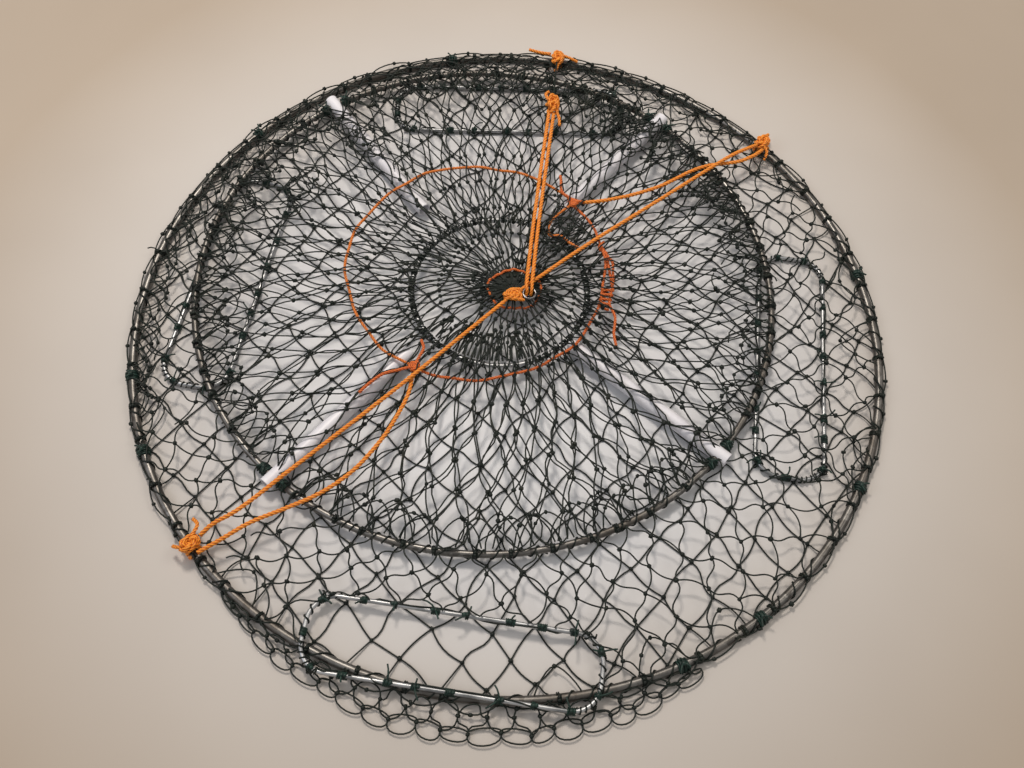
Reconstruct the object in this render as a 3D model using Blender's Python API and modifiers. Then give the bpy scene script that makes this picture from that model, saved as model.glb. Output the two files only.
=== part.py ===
"""Collapsible crayfish trap, folded flat: two hoops, net, four prop tubes and four entry loops.

Metres, +Z up. The origin is the middle of the base hoop, on the ground.
"""
import math

import bmesh
import bpy
from mathutils import Matrix, Vector

# Clearance between pieces that touch
GAP = 0.0003

# Base hoop, a closed rod that lies on the ground
BASE_RADIUS = 0.450
BASE_ROD = 0.010
BASE_AXIS_Z = BASE_ROD / 2
ROD_SIDES = 8
ROD_CORNER = math.pi / ROD_SIDES

# Net, counted in meshes round the hoops
MESHES_ROUND = 28
MESH_ANGLE = math.tau / MESHES_ROUND
HOOP_STEPS = 3 * MESHES_ROUND
TWINE = 0.0026
NET_THICKNESS = 0.0014
FIRST_MESH = math.radians(40.57)

# Prop tubes, cross-drilled near one end for the top hoop
TUBE_DIAMETER = 0.018
TUBE_WALL = 0.0018
TUBE_LENGTH = 0.230
TUBE_END_TO_HOLE = 0.012
PROP_MESHES = (0, 6, 14, 21)

# Entry loops, bent from wire
LOOP_WIRE = 0.005
LOOP_LENGTH = 0.310
LOOP_WIDTH = 0.080
LOOP_CORNER = 0.030
LOOP_ANGLES = (88, 168, 259.5, 350)
LOOP_INSETS = (0.098, 0.097, 0.042, 0.107)
LOOP_ON_HOOP = 2
WINDOW_REACH = 22
WINDOW_REACH_ON_HOOP = 29

# Top hoop, which lies inside the base hoop and a little to one side when folded
TOP_RADIUS = 0.355
TOP_ROD = 0.008
TOP_OFFSET = 0.0644
TOP_SIDE = math.radians(115.77)
HOOP_CLEARANCE = 0.0216
HOLE_PLAY = 0.0010

# Neck ring, inside the prop ends
NECK_RADIUS = 0.108
NECK_WIRE = 0.005
NECK_OFFSET = (0.016, -0.017, 0)

# Ropes
ROPE = 0.0054
THIN_LINE = 0.0024
DRAWCORD_RADIUS = 0.160
DRAWCORD_CENTRE_X = -0.040
DRAWCORD_CENTRE_Y = 0.071
THROAT_RADIUS = 0.034
THROAT_X = 0.004
THROAT_Y = 0.036
GATHER_RADIUS = 0.027
GATHER_HEIGHT = 0.0050
GATHER_FOLDS = 12
RING_WIRE = 0.0032
RING_RADIUS = 0.0075

# Lashings
LASHING_WIDTH = 0.012
LASHING_TWINE = 0.0013
LASHING_PLAY = 0.0006
BASE_LASHING_MESHES = (4, 7, 11, 12, 19, 20, 22, 25)
HOOP_KNOT_ANGLES = (218.4, 38.2, 79.2)

# Heights, stacked from the ground up
BASE_NET_Z = GAP + NET_THICKNESS / 2
LOOP_Z = BASE_NET_Z + NET_THICKNESS / 2 + GAP + LOOP_WIRE / 2
TOP_AXIS_Z = LOOP_Z + LOOP_WIRE / 2 + 6 * GAP + TOP_ROD / 2
TUBE_TOP_Z = TOP_AXIS_Z + TUBE_DIAMETER / 2
NECK_Z = TUBE_TOP_Z - NECK_WIRE / 2
NECK_NET_Z = TUBE_TOP_Z + GAP + NET_THICKNESS / 2
TOP_NET_Z = NECK_NET_Z + NET_THICKNESS + GAP
CORD_Z = TOP_NET_Z + NET_THICKNESS / 2 + GAP + ROPE / 2
LEG_Z = CORD_Z + ROPE + GAP
OVER_LEG_Z = LEG_Z + ROPE + GAP
LOOP_ON_HOOP_Z = BASE_ROD + GAP + LOOP_WIRE / 2

TOP_ROOM = BASE_RADIUS - BASE_ROD / 2 - HOOP_CLEARANCE - TOP_ROD / 2 - TOP_RADIUS
TOP_CENTRE = Vector((math.cos(TOP_SIDE), math.sin(TOP_SIDE), 0)) * min(TOP_OFFSET, TOP_ROOM)
NECK_CENTRE = TOP_CENTRE + Vector(NECK_OFFSET)
DRAWCORD_CENTRE = Vector((DRAWCORD_CENTRE_X, DRAWCORD_CENTRE_Y, 0))
THROAT_CENTRE = Vector((THROAT_X, THROAT_Y, 0))

# Colours
NET_GREEN = (0.013, 0.023, 0.017)
LASHING_GREEN = (0.007, 0.038, 0.025)
GALVANISED = (0.30, 0.29, 0.28)
BRIGHT_ZINC = (0.62, 0.62, 0.64)
WHITE_PVC = (0.74, 0.74, 0.79)
ORANGE = (0.80, 0.20, 0.02)
STEEL = (0.55, 0.55, 0.56)
DARK_LINE = (0.02, 0.03, 0.03)


def start_empty():
    for old in list(bpy.data.objects):
        bpy.data.objects.remove(old, do_unlink=True)
    for name in ("crayfish_trap", "cutters"):
        bpy.context.scene.collection.children.link(bpy.data.collections.new(name))


def material(name, colour, roughness, metallic=0.0):
    made = bpy.data.materials.get(name) or bpy.data.materials.new(name)
    made.use_nodes = True
    shader = made.node_tree.nodes["Principled BSDF"]
    shader.inputs["Base Color"].default_value = (*colour, 1)
    shader.inputs["Roughness"].default_value = roughness
    shader.inputs["Metallic"].default_value = metallic
    return made


def add_object(name, data, finish, collection="crayfish_trap"):
    made = bpy.data.objects.new(name, data)
    made.data.materials.append(finish)
    bpy.data.collections[collection].objects.link(made)
    return made


def mesh_object(name, bm, finish, collection="crayfish_trap"):
    bmesh.ops.recalc_face_normals(bm, faces=bm.faces)
    mesh = bpy.data.meshes.new(name)
    bm.to_mesh(mesh)
    bm.free()
    return add_object(name, mesh, finish, collection)


def direction(angle):
    return Vector((math.cos(angle), math.sin(angle), 0))


def mesh_angle(column):
    return FIRST_MESH + column * MESH_ANGLE


def hoop(name, centre, radius, rod, axis_z, sides, steps, finish):
    """A closed rod: a polygon with a flat underside, turned about the vertical axis."""
    bm = bmesh.new()
    corner = rod / 2 / math.cos(math.pi / sides)
    profile = []
    for side in range(sides):
        angle = math.tau * (side + 0.5) / sides - math.pi / 2
        level = Vector((0, 0, axis_z + corner * math.sin(angle)))
        reach = radius + corner * math.cos(angle)
        profile.append(bm.verts.new(direction(FIRST_MESH) * reach + level))
    for here, there in zip(profile, profile[1:] + profile[:1]):
        bm.edges.new((here, there))
    bmesh.ops.spin(bm, geom=bm.verts[:] + bm.edges[:], cent=(0, 0, 0), axis=(0, 0, 1),
                   angle=math.tau, steps=steps, use_merge=True)
    bmesh.ops.remove_doubles(bm, verts=bm.verts, dist=0.00001)
    bmesh.ops.translate(bm, verts=bm.verts, vec=centre)
    made = mesh_object(name, bm, finish)
    made.data.shade_smooth()
    return made


def net_sheet(name, knot, rows, finish, missing=()):
    """Diamond meshes round a hoop: each quad is opened to leave its twine, then given thickness."""
    bm = bmesh.new()
    knots = []
    for row in range(rows):
        shift = 0.5 * (row % 2)
        knots.append([bm.verts.new(knot(row, column + shift)) for column in range(MESHES_ROUND)])
    meshes = []
    for row in range(rows - 2):
        for column in range(MESHES_ROUND):
            if (row, column) in missing:
                continue
            before = column - 1 + row % 2
            after = (column + row % 2) % MESHES_ROUND
            meshes.append(bm.faces.new((knots[row][column], knots[row + 1][before],
                                        knots[row + 2][column], knots[row + 1][after])))
    bmesh.ops.delete(bm, geom=[v for v in bm.verts if not v.link_faces], context="VERTS")
    bmesh.ops.recalc_face_normals(bm, faces=bm.faces)
    bmesh.ops.inset_individual(bm, faces=meshes, thickness=TWINE / 2, use_even_offset=True)
    bmesh.ops.delete(bm, geom=meshes, context="FACES_ONLY")
    made = mesh_object(name, bm, finish)
    wall = made.modifiers.new("twine thickness", "SOLIDIFY")
    wall.thickness = NET_THICKNESS
    wall.offset = 0
    return made


def smooth_route(points, spacing):
    """Even points along a smooth curve through the route's own points."""
    points = [Vector(p) for p in points]
    ends = [points[0] * 2 - points[1]] + points + [points[-1] * 2 - points[-2]]
    fine = []
    for a, b, c, d in zip(ends, ends[1:], ends[2:], ends[3:]):
        for step in range(20):
            t = step / 20
            fine.append(((2 * b) + (c - a) * t + (2 * a - 5 * b + 4 * c - d) * t * t
                         + (3 * b - 3 * c + d - a) * t ** 3) / 2)
    fine.append(points[-1])
    length = sum((b - a).length for a, b in zip(fine, fine[1:]))
    count = max(3, round(length / spacing))
    even, walked, target = [fine[0]], 0, length / count
    for a, b in zip(fine, fine[1:]):
        walked += (b - a).length
        if walked >= target - 1e-9 and len(even) < count:
            even.append(b)
            target += length / count
    even.append(fine[-1])
    return even


def rod_along(name, route, diameter, finish, closed=False, corner_steps=2):
    """A round rod or rope through the given points, with filled ends."""
    curve = bpy.data.curves.new(name, "CURVE")
    curve.dimensions = "3D"
    curve.bevel_depth = diameter / 2
    curve.bevel_resolution = corner_steps
    curve.use_fill_caps = True
    spline = curve.splines.new("POLY")
    spline.points.add(len(route) - 1)
    for point, place in zip(spline.points, route):
        point.co = (*place, 1)
    spline.use_cyclic_u = closed
    return add_object(name, curve, finish)


def circle_points(centre, radius, z, start, end, count):
    """Points on an arc, ends included."""
    points = []
    for step in range(count + 1):
        angle = start + (end - start) * step / count
        points.append(centre + direction(angle) * radius + Vector((0, 0, z)))
    return points


def lump(name, centre, radii, turn, finish):
    """A knot pulled tight: a rounded body, a little flattened."""
    bm = bmesh.new()
    bmesh.ops.create_uvsphere(bm, u_segments=10, v_segments=6, radius=1)
    place = Matrix.Translation(centre) @ Matrix.Rotation(turn, 4, "Z")
    bmesh.ops.transform(bm, matrix=place @ Matrix.Diagonal((*radii, 1)), verts=bm.verts)
    made = mesh_object(name, bm, finish)
    made.data.shade_smooth()
    return made


def add_wrap(bm, frame, inner, outer, width, sides):
    """Twine bound round a rod, side by side with the rod's own; with all sides it closes."""
    rings = []
    for step in range(sides + 1):
        angle = (2 * step - 1) * ROD_CORNER
        across = frame @ Vector((math.cos(angle), 0, math.sin(angle), 0))
        along = frame @ Vector((0, 1, 0, 0))
        middle = frame @ Vector((0, 0, 0, 1))
        corners = []
        for reach, side in ((inner, -1), (outer, -1), (outer, 1), (inner, 1)):
            place = middle + across * reach + along * side * width / 2
            corners.append(bm.verts.new(place[:3]))
        rings.append(corners)
    closed = sides == ROD_SIDES
    if closed:
        bmesh.ops.delete(bm, geom=rings.pop(), context="VERTS")
    for here, there in zip(rings, rings[1:] + ([rings[0]] if closed else [])):
        for i in range(4):
            bm.faces.new((here[i], there[i], there[(i + 1) % 4], here[(i + 1) % 4]))
    if not closed:
        bm.faces.new(rings[0])
        bm.faces.new(rings[-1])


def rod_frame(centre, radius, angle, z):
    """A frame on a hoop's rod: X out from the hoop, Y along the rod, Z up."""
    place = centre + direction(angle) * radius + Vector((0, 0, z))
    return Matrix.Translation(place) @ Matrix.Rotation(angle, 4, "Z")


def make_hoops():
    galvanised = material("galvanised_rod", GALVANISED, 0.42, 1.0)
    zinc = material("bright_zinc_wire", BRIGHT_ZINC, 0.25, 1.0)
    hoop("base_ring", Vector(), BASE_RADIUS, BASE_ROD, BASE_AXIS_Z, ROD_SIDES, HOOP_STEPS,
         galvanised)
    hoop("top_ring", TOP_CENTRE, TOP_RADIUS, TOP_ROD, TOP_AXIS_Z, ROD_SIDES, HOOP_STEPS,
         galvanised)
    hoop("neck_ring", NECK_CENTRE, NECK_RADIUS, NECK_WIRE, NECK_Z, 6, 36, zinc)


def prop_angles():
    return [mesh_angle(mesh + 0.5) for mesh in PROP_MESHES]


def make_props():
    """White tubes on the top hoop, folded in towards the neck ring."""
    pvc = material("white_pvc", WHITE_PVC, 0.38)
    outer = TUBE_DIAMETER / 2
    inner = outer - TUBE_WALL
    hole = TOP_ROD / 2 / math.cos(ROD_CORNER) + HOLE_PLAY / 2
    for number, angle in enumerate(prop_angles(), 1):
        bm = bmesh.new()
        ends = (TUBE_END_TO_HOLE, TUBE_END_TO_HOLE - TUBE_LENGTH)
        corners = [(ends[0], outer), (ends[0], inner), (ends[1], inner), (ends[1], outer)]
        profile = [bm.verts.new((x, 0, r)) for x, r in corners]
        for here, there in zip(profile, profile[1:] + profile[:1]):
            bm.edges.new((here, there))
        bmesh.ops.spin(bm, geom=bm.verts[:] + bm.edges[:], cent=(0, 0, 0), axis=(1, 0, 0),
                       angle=math.tau, steps=16, use_merge=True)
        bmesh.ops.remove_doubles(bm, verts=bm.verts, dist=0.00001)
        tube = mesh_object(f"prop_{number}", bm, pvc)
        drill_mesh = bmesh.new()
        bmesh.ops.create_cone(drill_mesh, cap_ends=True, segments=12, radius1=hole, radius2=hole,
                              depth=2 * TUBE_DIAMETER)
        bmesh.ops.rotate(drill_mesh, verts=drill_mesh.verts, cent=(0, 0, 0),
                         matrix=Matrix.Rotation(math.pi / 2, 3, "X"))
        drill = mesh_object(f"prop_{number}_drill", drill_mesh, pvc, "cutters")
        drill.hide_render = True
        drill.display_type = "WIRE"
        cut = tube.modifiers.new("hole for the hoop", "BOOLEAN")
        cut.object = drill
        for piece in (tube, drill):
            piece.matrix_world = rod_frame(TOP_CENTRE, TOP_RADIUS, angle, TOP_AXIS_Z)
        tube.data.shade_smooth()
        tube.data.set_sharp_from_angle(angle=math.radians(40))


def loop_points():
    """A rounded rectangle about the origin, long side along Y."""
    points = []
    half_long = LOOP_LENGTH / 2 - LOOP_CORNER
    half_wide = LOOP_WIDTH / 2 - LOOP_CORNER
    for quarter, (sx, sy) in enumerate(((1, 1), (-1, 1), (-1, -1), (1, -1))):
        for step in range(5):
            angle = math.pi / 2 * (quarter + step / 4)
            points.append(Vector((sx * half_wide, sy * half_long, 0)) + direction(angle) * LOOP_CORNER)
    return points


def make_entry_loops():
    """Wire mouths of the four side entrances, hinged on the net at their outer long side."""
    zinc = material("bright_zinc_wire", BRIGHT_ZINC, 0.25, 1.0)
    for number, (degrees, inset) in enumerate(zip(LOOP_ANGLES, LOOP_INSETS)):
        height = LOOP_ON_HOOP_Z if number == LOOP_ON_HOOP else LOOP_Z
        angle = math.radians(degrees)
        radius = BASE_RADIUS - inset
        if number == LOOP_ON_HOOP:
            top_hoop = TOP_CENTRE.dot(direction(angle)) + TOP_RADIUS + TOP_ROD / 2
            radius = max(radius, top_hoop + (LOOP_WIDTH + LOOP_WIRE) / 2 + GAP)
        place = rod_frame(Vector(), radius, angle, height)
        points = [place @ point for point in loop_points()]
        rod_along(f"entry_loop_{number + 1}", points, LOOP_WIRE, zinc, closed=True)


def make_nets():
    twine = material("green_net_twine", NET_GREEN, 0.62)
    base_edge = BASE_RADIUS - BASE_ROD / 2 - GAP
    base_rows = (1.0, 0.753, 0.472, 0.191)

    def base_knot(row, column):
        out = direction(mesh_angle(column)) * base_edge * base_rows[row]
        return out + Vector((0, 0, BASE_NET_Z))

    net_sheet("base_net", base_knot, len(base_rows), twine)

    top_edge = TOP_RADIUS - TOP_ROD / 2
    neck_rows = (0.0, 0.36, 0.70, 1.0)

    def neck_knot(row, column):
        share = neck_rows[row]
        out = TOP_CENTRE + direction(mesh_angle(column)) * top_edge
        middle = NECK_CENTRE + direction(mesh_angle(column)) * NECK_RADIUS
        return out.lerp(middle, share) + Vector((0, 0, NECK_NET_Z))

    net_sheet("neck_net", neck_knot, len(neck_rows), twine)

    top_rows = (0.0, 0.18, 0.37, 0.57, 0.79, 1.0)

    def top_knot(row, column):
        share = top_rows[row]
        out = TOP_CENTRE + direction(mesh_angle(column)) * top_edge
        middle = THROAT_CENTRE + direction(mesh_angle(column)) * (THROAT_RADIUS + ROPE)
        return out.lerp(middle, share) + Vector((0, 0, TOP_NET_Z))

    net_sheet("top_net", top_knot, len(top_rows), twine)

    side_rows = (0.0, 0.16, 0.31, 0.46, 1.0)
    ground_z = BASE_ROD + GAP + NET_THICKNESS / 2

    def side_knot(row, column):
        share = side_rows[row]
        inner = TOP_CENTRE + direction(mesh_angle(column)) * (TOP_RADIUS + TWINE / 2)
        outer = direction(mesh_angle(column)) * BASE_RADIUS
        height = NECK_NET_Z if row < len(side_rows) - 1 else ground_z
        return inner.lerp(outer, share) + Vector((0, 0, height))

    windows = set()
    for number, degrees in enumerate(LOOP_ANGLES):
        reach = math.radians(WINDOW_REACH_ON_HOOP if number == LOOP_ON_HOOP else WINDOW_REACH)
        for column in range(MESHES_ROUND):
            if abs(mesh_angle(column) - math.radians(degrees)) < reach:
                windows.add((2, column))
    net_sheet("side_net", side_knot, len(side_rows), twine, windows)


def make_lashings():
    """Twine bound round the hoops: beside each prop to hold it, and along the base hoop."""
    green = material("green_lashing", LASHING_GREEN, 0.55)
    inner = TOP_ROD / 2 / math.cos(ROD_CORNER) + LASHING_PLAY
    along = TUBE_DIAMETER / 2 + GAP + LASHING_WIDTH / 2
    for number, angle in enumerate(prop_angles(), 1):
        for letter, side in (("a", -1), ("b", 1)):
            bm = bmesh.new()
            turned = angle + side * along / TOP_RADIUS
            frame = rod_frame(TOP_CENTRE, TOP_RADIUS, turned, TOP_AXIS_Z)
            add_wrap(bm, frame, inner, inner + LASHING_TWINE, LASHING_WIDTH, ROD_SIDES)
            mesh_object(f"prop_lashing_{number}{letter}", bm, green)

    inner = BASE_ROD / 2 / math.cos(ROD_CORNER) + LASHING_PLAY
    for number, mesh in enumerate(BASE_LASHING_MESHES, 1):
        bm = bmesh.new()
        frame = rod_frame(Vector(), BASE_RADIUS, mesh_angle(mesh + 0.5), BASE_AXIS_Z)
        add_wrap(bm, frame, inner, inner + LASHING_TWINE, LASHING_WIDTH, ROD_SIDES - 3)
        mesh_object(f"base_lashing_{number}", bm, green)


def make_throat():
    """The top net's middle, drawn together in folds."""
    twine = material("green_net_twine", NET_GREEN, 0.62)
    orange = material("orange_rope", ORANGE, 0.55)
    floor = TOP_NET_Z + NET_THICKNESS / 2 + GAP
    bm = bmesh.new()
    rings = []
    for share, level in ((1.0, 0.0), (0.92, 0.55), (0.55, 1.0)):
        ring = []
        for fold in range(2 * GATHER_FOLDS):
            depth = 0.78 if fold % 2 else 1.0
            reach = GATHER_RADIUS * share * depth
            place = THROAT_CENTRE + direction(math.pi * fold / GATHER_FOLDS) * reach
            ring.append(bm.verts.new(place + Vector((0, 0, floor + GATHER_HEIGHT * level))))
        rings.append(ring)
    for low, high in zip(rings, rings[1:]):
        for i in range(len(low)):
            after = (i + 1) % len(low)
            bm.faces.new((low[i], low[after], high[after], high[i]))
    bm.faces.new(rings[0])
    bm.faces.new(rings[-1])
    mesh_object("throat_gather", bm, twine)
    cord = circle_points(THROAT_CENTRE, THROAT_RADIUS, CORD_Z, 0, math.tau, 18)[:-1]
    rod_along("throat_drawcord", cord, ROPE, orange, closed=True)


def make_drawcord():
    """The mouth's drawcord in two arcs between its two knots."""
    orange = material("orange_rope", ORANGE, 0.55)
    knot_radii = (0.0085, 0.0070, ROPE / 2)
    left, right = math.radians(-118), math.radians(37.5)
    trim = (knot_radii[0] + 2 * GAP) / DRAWCORD_RADIUS
    for name, start, end in (("net_drawcord_lower", left + trim, right - trim),
                             ("net_drawcord_upper", right + trim, left - trim + math.tau)):
        arc = circle_points(DRAWCORD_CENTRE, DRAWCORD_RADIUS, CORD_Z, start, end, 22)
        rod_along(name, arc, ROPE, orange)
    for name, angle in (("drawcord_knot_left", left), ("drawcord_knot_right", right)):
        place = DRAWCORD_CENTRE + direction(angle) * DRAWCORD_RADIUS + Vector((0, 0, CORD_Z))
        lump(name, place, knot_radii, angle + math.pi / 2, orange)


def make_bridle():
    """Two taut legs to the sides, a doubled leg to the top and the slack ends of the drawcord."""
    orange = material("orange_rope", ORANGE, 0.55)
    wrap_inner = BASE_ROD / 2 / math.cos(ROD_CORNER) + LASHING_PLAY
    wrap_outer = wrap_inner + ROPE / 2
    knot_z = BASE_AXIS_Z + wrap_outer * math.cos(ROD_CORNER) + GAP + 0.0065
    for name, degrees in zip(("left", "right", "top"), HOOP_KNOT_ANGLES):
        angle = math.radians(degrees)
        bm = bmesh.new()
        frame = rod_frame(Vector(), BASE_RADIUS, angle, BASE_AXIS_Z)
        add_wrap(bm, frame, wrap_inner, wrap_outer, 2 * ROPE, ROD_SIDES - 3)
        mesh_object(f"bridle_wrap_{name}", bm, orange)
        place = direction(angle) * BASE_RADIUS + Vector((0, 0, knot_z))
        lump(f"bridle_knot_{name}", place, (0.0100, 0.0110, 0.0065), angle, orange)
    steps = ((-0.0106, 0.0027, -0.0010), (-0.0243, 0.0085, -0.0039), (-0.0403, 0.0150, -0.0047))
    tail = [place + Vector(step) for step in steps]
    rod_along("bridle_tail_top", smooth_route(tail, 2 * ROPE), ROPE, orange)

    spacing = 2.5 * ROPE
    left_leg = [(-0.3412, -0.2705, 0.0215), (-0.3275, -0.2605, 0.0285), (-0.306, -0.2510, LEG_Z),
                (-0.284, -0.2335, LEG_Z), (-0.255, -0.2075, LEG_Z), (-0.2143, -0.1722, LEG_Z),
                (-0.1285, -0.0970, LEG_Z), (-0.008, 0.0135, LEG_Z)]
    right_leg = [(0.3424, 0.2696, 0.0215), (0.327, 0.2575, 0.0290), (0.300, 0.2400, LEG_Z),
                 (0.2529, 0.2070, LEG_Z), (0.1846, 0.1583, LEG_Z), (0.100, 0.0980, LEG_Z),
                 (0.0356, 0.0485, LEG_Z), (0.014, 0.0310, LEG_Z)]
    rod_along("bridle_leg_left", smooth_route(left_leg, spacing), ROPE, orange)
    rod_along("bridle_leg_right", smooth_route(right_leg, spacing), ROPE, orange)

    apart = ROPE / 2 + 2 * GAP
    for name, side in (("bridle_leg_top_a", -apart), ("bridle_leg_top_b", apart)):
        top_leg = [(0.0235 + side, 0.0345, OVER_LEG_Z), (0.0275 + side, 0.0640, OVER_LEG_Z),
                   (0.036 + side, 0.1250, LEG_Z), (0.050 + side, 0.2150, LEG_Z),
                   (0.0665 + side, 0.3165, LEG_Z)]
        rod_along(name, smooth_route(top_leg, spacing), ROPE, orange)
    lump("bridle_slide_knot", Vector((0.069, 0.332, LEG_Z)), (0.010, 0.014, 0.0085), -0.16, orange)
    line = [(0.0715, 0.3475, LEG_Z), (0.0745, 0.372, 0.0310), (0.079, 0.410, 0.0260),
            (0.0815, 0.4290, 0.0215)]
    dark = material("dark_line", DARK_LINE, 0.6)
    rod_along("bridle_line_top", smooth_route(line, 2.5 * THIN_LINE), THIN_LINE, dark)

    slack_left = [(-0.3425, -0.2893, 0.0195), (-0.318, -0.2770, 0.0245), (-0.288, -0.2600, CORD_Z),
                  (-0.250, -0.2440, CORD_Z), (-0.214, -0.2270, CORD_Z), (-0.180, -0.2010, CORD_Z),
                  (-0.151, -0.1650, CORD_Z), (-0.136, -0.1390, CORD_Z), (-0.122, -0.1090, CORD_Z),
                  (-0.1165, -0.0812, CORD_Z)]
    slack_right = [(0.3495, 0.2615, 0.0215), (0.334, 0.2460, 0.0275), (0.310, 0.2350, CORD_Z),
                   (0.275, 0.2300, CORD_Z), (0.248, 0.2205, CORD_Z), (0.223, 0.2060, CORD_Z),
                   (0.1995, 0.1934, CORD_Z), (0.164, 0.1805, CORD_Z), (0.136, 0.1735, CORD_Z),
                   (0.1165, 0.1702, CORD_Z), (0.1000, 0.1690, CORD_Z)]
    rod_along("slack_cord_left", smooth_route(slack_left, spacing), ROPE, orange)
    rod_along("slack_cord_right", smooth_route(slack_right, spacing), ROPE, orange)


def make_pull_ring():
    orange = material("orange_rope", ORANGE, 0.55)
    steel = material("steel_ring", STEEL, 0.3, 1.0)
    knot_radii = (0.0110, 0.0090, 0.0050)
    knot_z = TOP_NET_Z + NET_THICKNESS / 2 + 2 * GAP + GATHER_HEIGHT + knot_radii[2]
    knot = Vector((0.003, 0.024, knot_z))
    lump("bridle_centre_knot", knot, knot_radii, 0, orange)
    reach = knot_radii[0] + GAP + RING_WIRE / 2 + RING_RADIUS
    centre = knot + Vector((reach, 0, 0)) - Vector((0, 0, knot_z))
    ring = circle_points(centre, RING_RADIUS, knot_z, 0, math.tau, 14)[:-1]
    rod_along("pull_ring", ring, RING_WIRE, steel, closed=True)


start_empty()
make_hoops()
make_props()
make_entry_loops()
make_nets()
make_lashings()
make_throat()
make_drawcord()
make_bridle()
make_pull_ring()
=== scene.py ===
import math
import random
from math import atan2, cos, exp, pi, radians, sin, sqrt, tau

import bmesh
import bpy
from mathutils import Matrix, Vector
from mathutils.noise import noise


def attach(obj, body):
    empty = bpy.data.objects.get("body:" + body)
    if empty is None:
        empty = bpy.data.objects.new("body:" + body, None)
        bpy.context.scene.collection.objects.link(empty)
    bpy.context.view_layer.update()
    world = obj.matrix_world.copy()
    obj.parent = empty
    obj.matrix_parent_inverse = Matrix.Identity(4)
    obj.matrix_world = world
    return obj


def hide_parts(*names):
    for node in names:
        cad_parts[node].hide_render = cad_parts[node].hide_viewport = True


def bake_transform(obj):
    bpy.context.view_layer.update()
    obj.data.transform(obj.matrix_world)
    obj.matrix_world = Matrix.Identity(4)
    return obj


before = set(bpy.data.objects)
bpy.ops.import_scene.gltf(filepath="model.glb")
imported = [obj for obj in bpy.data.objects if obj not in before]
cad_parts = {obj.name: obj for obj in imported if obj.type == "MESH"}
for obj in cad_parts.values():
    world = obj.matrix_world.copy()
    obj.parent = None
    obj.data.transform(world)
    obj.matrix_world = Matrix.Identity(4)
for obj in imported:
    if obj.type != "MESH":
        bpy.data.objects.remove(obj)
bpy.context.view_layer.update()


# --- The floor and the view ------------------------------------------------------------------
# The trap lies folded flat on a plain pale floor. The camera looks down on it at the slant at
# which the folded trap was photographed, with a lamp above its far side and soft light all round.

def linear(hex_colour):
    """An sRGB hex colour as the linear colour that a shader takes."""
    parts = [int(hex_colour[i:i + 2], 16) / 255 for i in (1, 3, 5)]
    return (*((p / 12.92 if p <= 0.04045 else ((p + 0.055) / 1.055) ** 2.4) for p in parts), 1)


def add_node(tree, kind, links=(), **settings):
    """One node with its settings. links gives each input a value, a socket, or a node whose first
    output feeds it."""
    node = tree.nodes.new(kind)
    for key, value in settings.items():
        setattr(node, key, value)
    for key, value in dict(links).items():
        if isinstance(value, bpy.types.Node):
            value = value.outputs[0]
        if isinstance(value, bpy.types.NodeSocket):
            tree.links.new(value, node.inputs[key])
        else:
            node.inputs[key].default_value = value
    return node


def new_material(name):
    """An empty material, its tree, and the place on the piece that its patterns read."""
    made = bpy.data.materials.new(name)
    made.use_nodes = True
    made.node_tree.nodes.clear()
    return made, made.node_tree, add_node(made.node_tree, "ShaderNodeTexCoord").outputs["Object"]


def ramp(node, stops):
    """Colour stops of a Color Ramp, from (place, hex colour) pairs."""
    elements = node.color_ramp.elements
    while len(elements) < len(stops):
        elements.new(0.5)
    for element, (place, colour) in zip(elements, stops):
        element.position = place
        element.color = linear(colour)
    return node


def put_in_scene(name, data):
    """A new object of a mesh, a camera or a lamp."""
    made = bpy.data.objects.new(name, data)
    bpy.context.scene.collection.objects.link(made)
    return made


# painted board: matt and a little uneven, with a painted pool of light that is paler and cooler towards the
# middle, where the trap lies, and warmer and darker out towards the edges
painted_floor, tree, place = new_material("painted_floor")
blotches = add_node(tree, "ShaderNodeTexNoise", {"Vector": place, "Scale": 2.2, "Detail": 3.0})
# painted pool of light: the floor's colour follows the distance from the middle
apart = add_node(tree, "ShaderNodeVectorMath", {0: place}, operation="LENGTH")
painted_light_pool = ramp(add_node(tree, "ShaderNodeValToRGB", {"Fac": apart.outputs["Value"]}),
    ((0.14, "#EEF0F4"), (0.31, "#DCDDE0"), (0.44, "#CEC9C4"), (0.72, "#B8AA9A")))
cloud = ramp(add_node(tree, "ShaderNodeValToRGB", {"Fac": blotches}), ((0.30, "#F4F3F2"), (0.70, "#FFFFFF")))
mottled = add_node(tree, "ShaderNodeMix", {"Factor": 1.0, 6: painted_light_pool, 7: cloud}, data_type="RGBA",
    blend_type="MULTIPLY")
board = add_node(tree, "ShaderNodeBsdfPrincipled", {"Base Color": mottled.outputs[2], "Roughness": 0.7})
add_node(tree, "ShaderNodeOutputMaterial", {"Surface": board})

HALF_FLOOR = 6
floor_mesh = bpy.data.meshes.new("floor")
corners = [(x * HALF_FLOOR, y * HALF_FLOOR, 0) for x, y in ((-1, -1), (1, -1), (1, 1), (-1, 1))]
floor_mesh.from_pydata(corners, [], [(0, 1, 2, 3)])
floor_mesh.materials.append(painted_floor)
floor = put_in_scene("floor", floor_mesh)

camera_data = bpy.data.cameras.new("camera")
camera_data.sensor_fit = "HORIZONTAL"
camera_data.sensor_width = 36.0
camera_data.lens = 36.06
camera_data.clip_end = 50
camera = put_in_scene("camera", camera_data)
right = Vector((0.99872223, -0.03740712, 0.0339795))
up = Vector((0.01629851, 0.87487239, 0.48407918))
ahead = Vector((0.04783574, 0.48290683, -0.87436419))
turned = Matrix((right, up, -ahead)).transposed().to_4x4()
camera.matrix_world = Matrix.Translation((-0.0588, -0.6702, 1.067)) @ turned
bpy.context.scene.camera = camera

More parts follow.
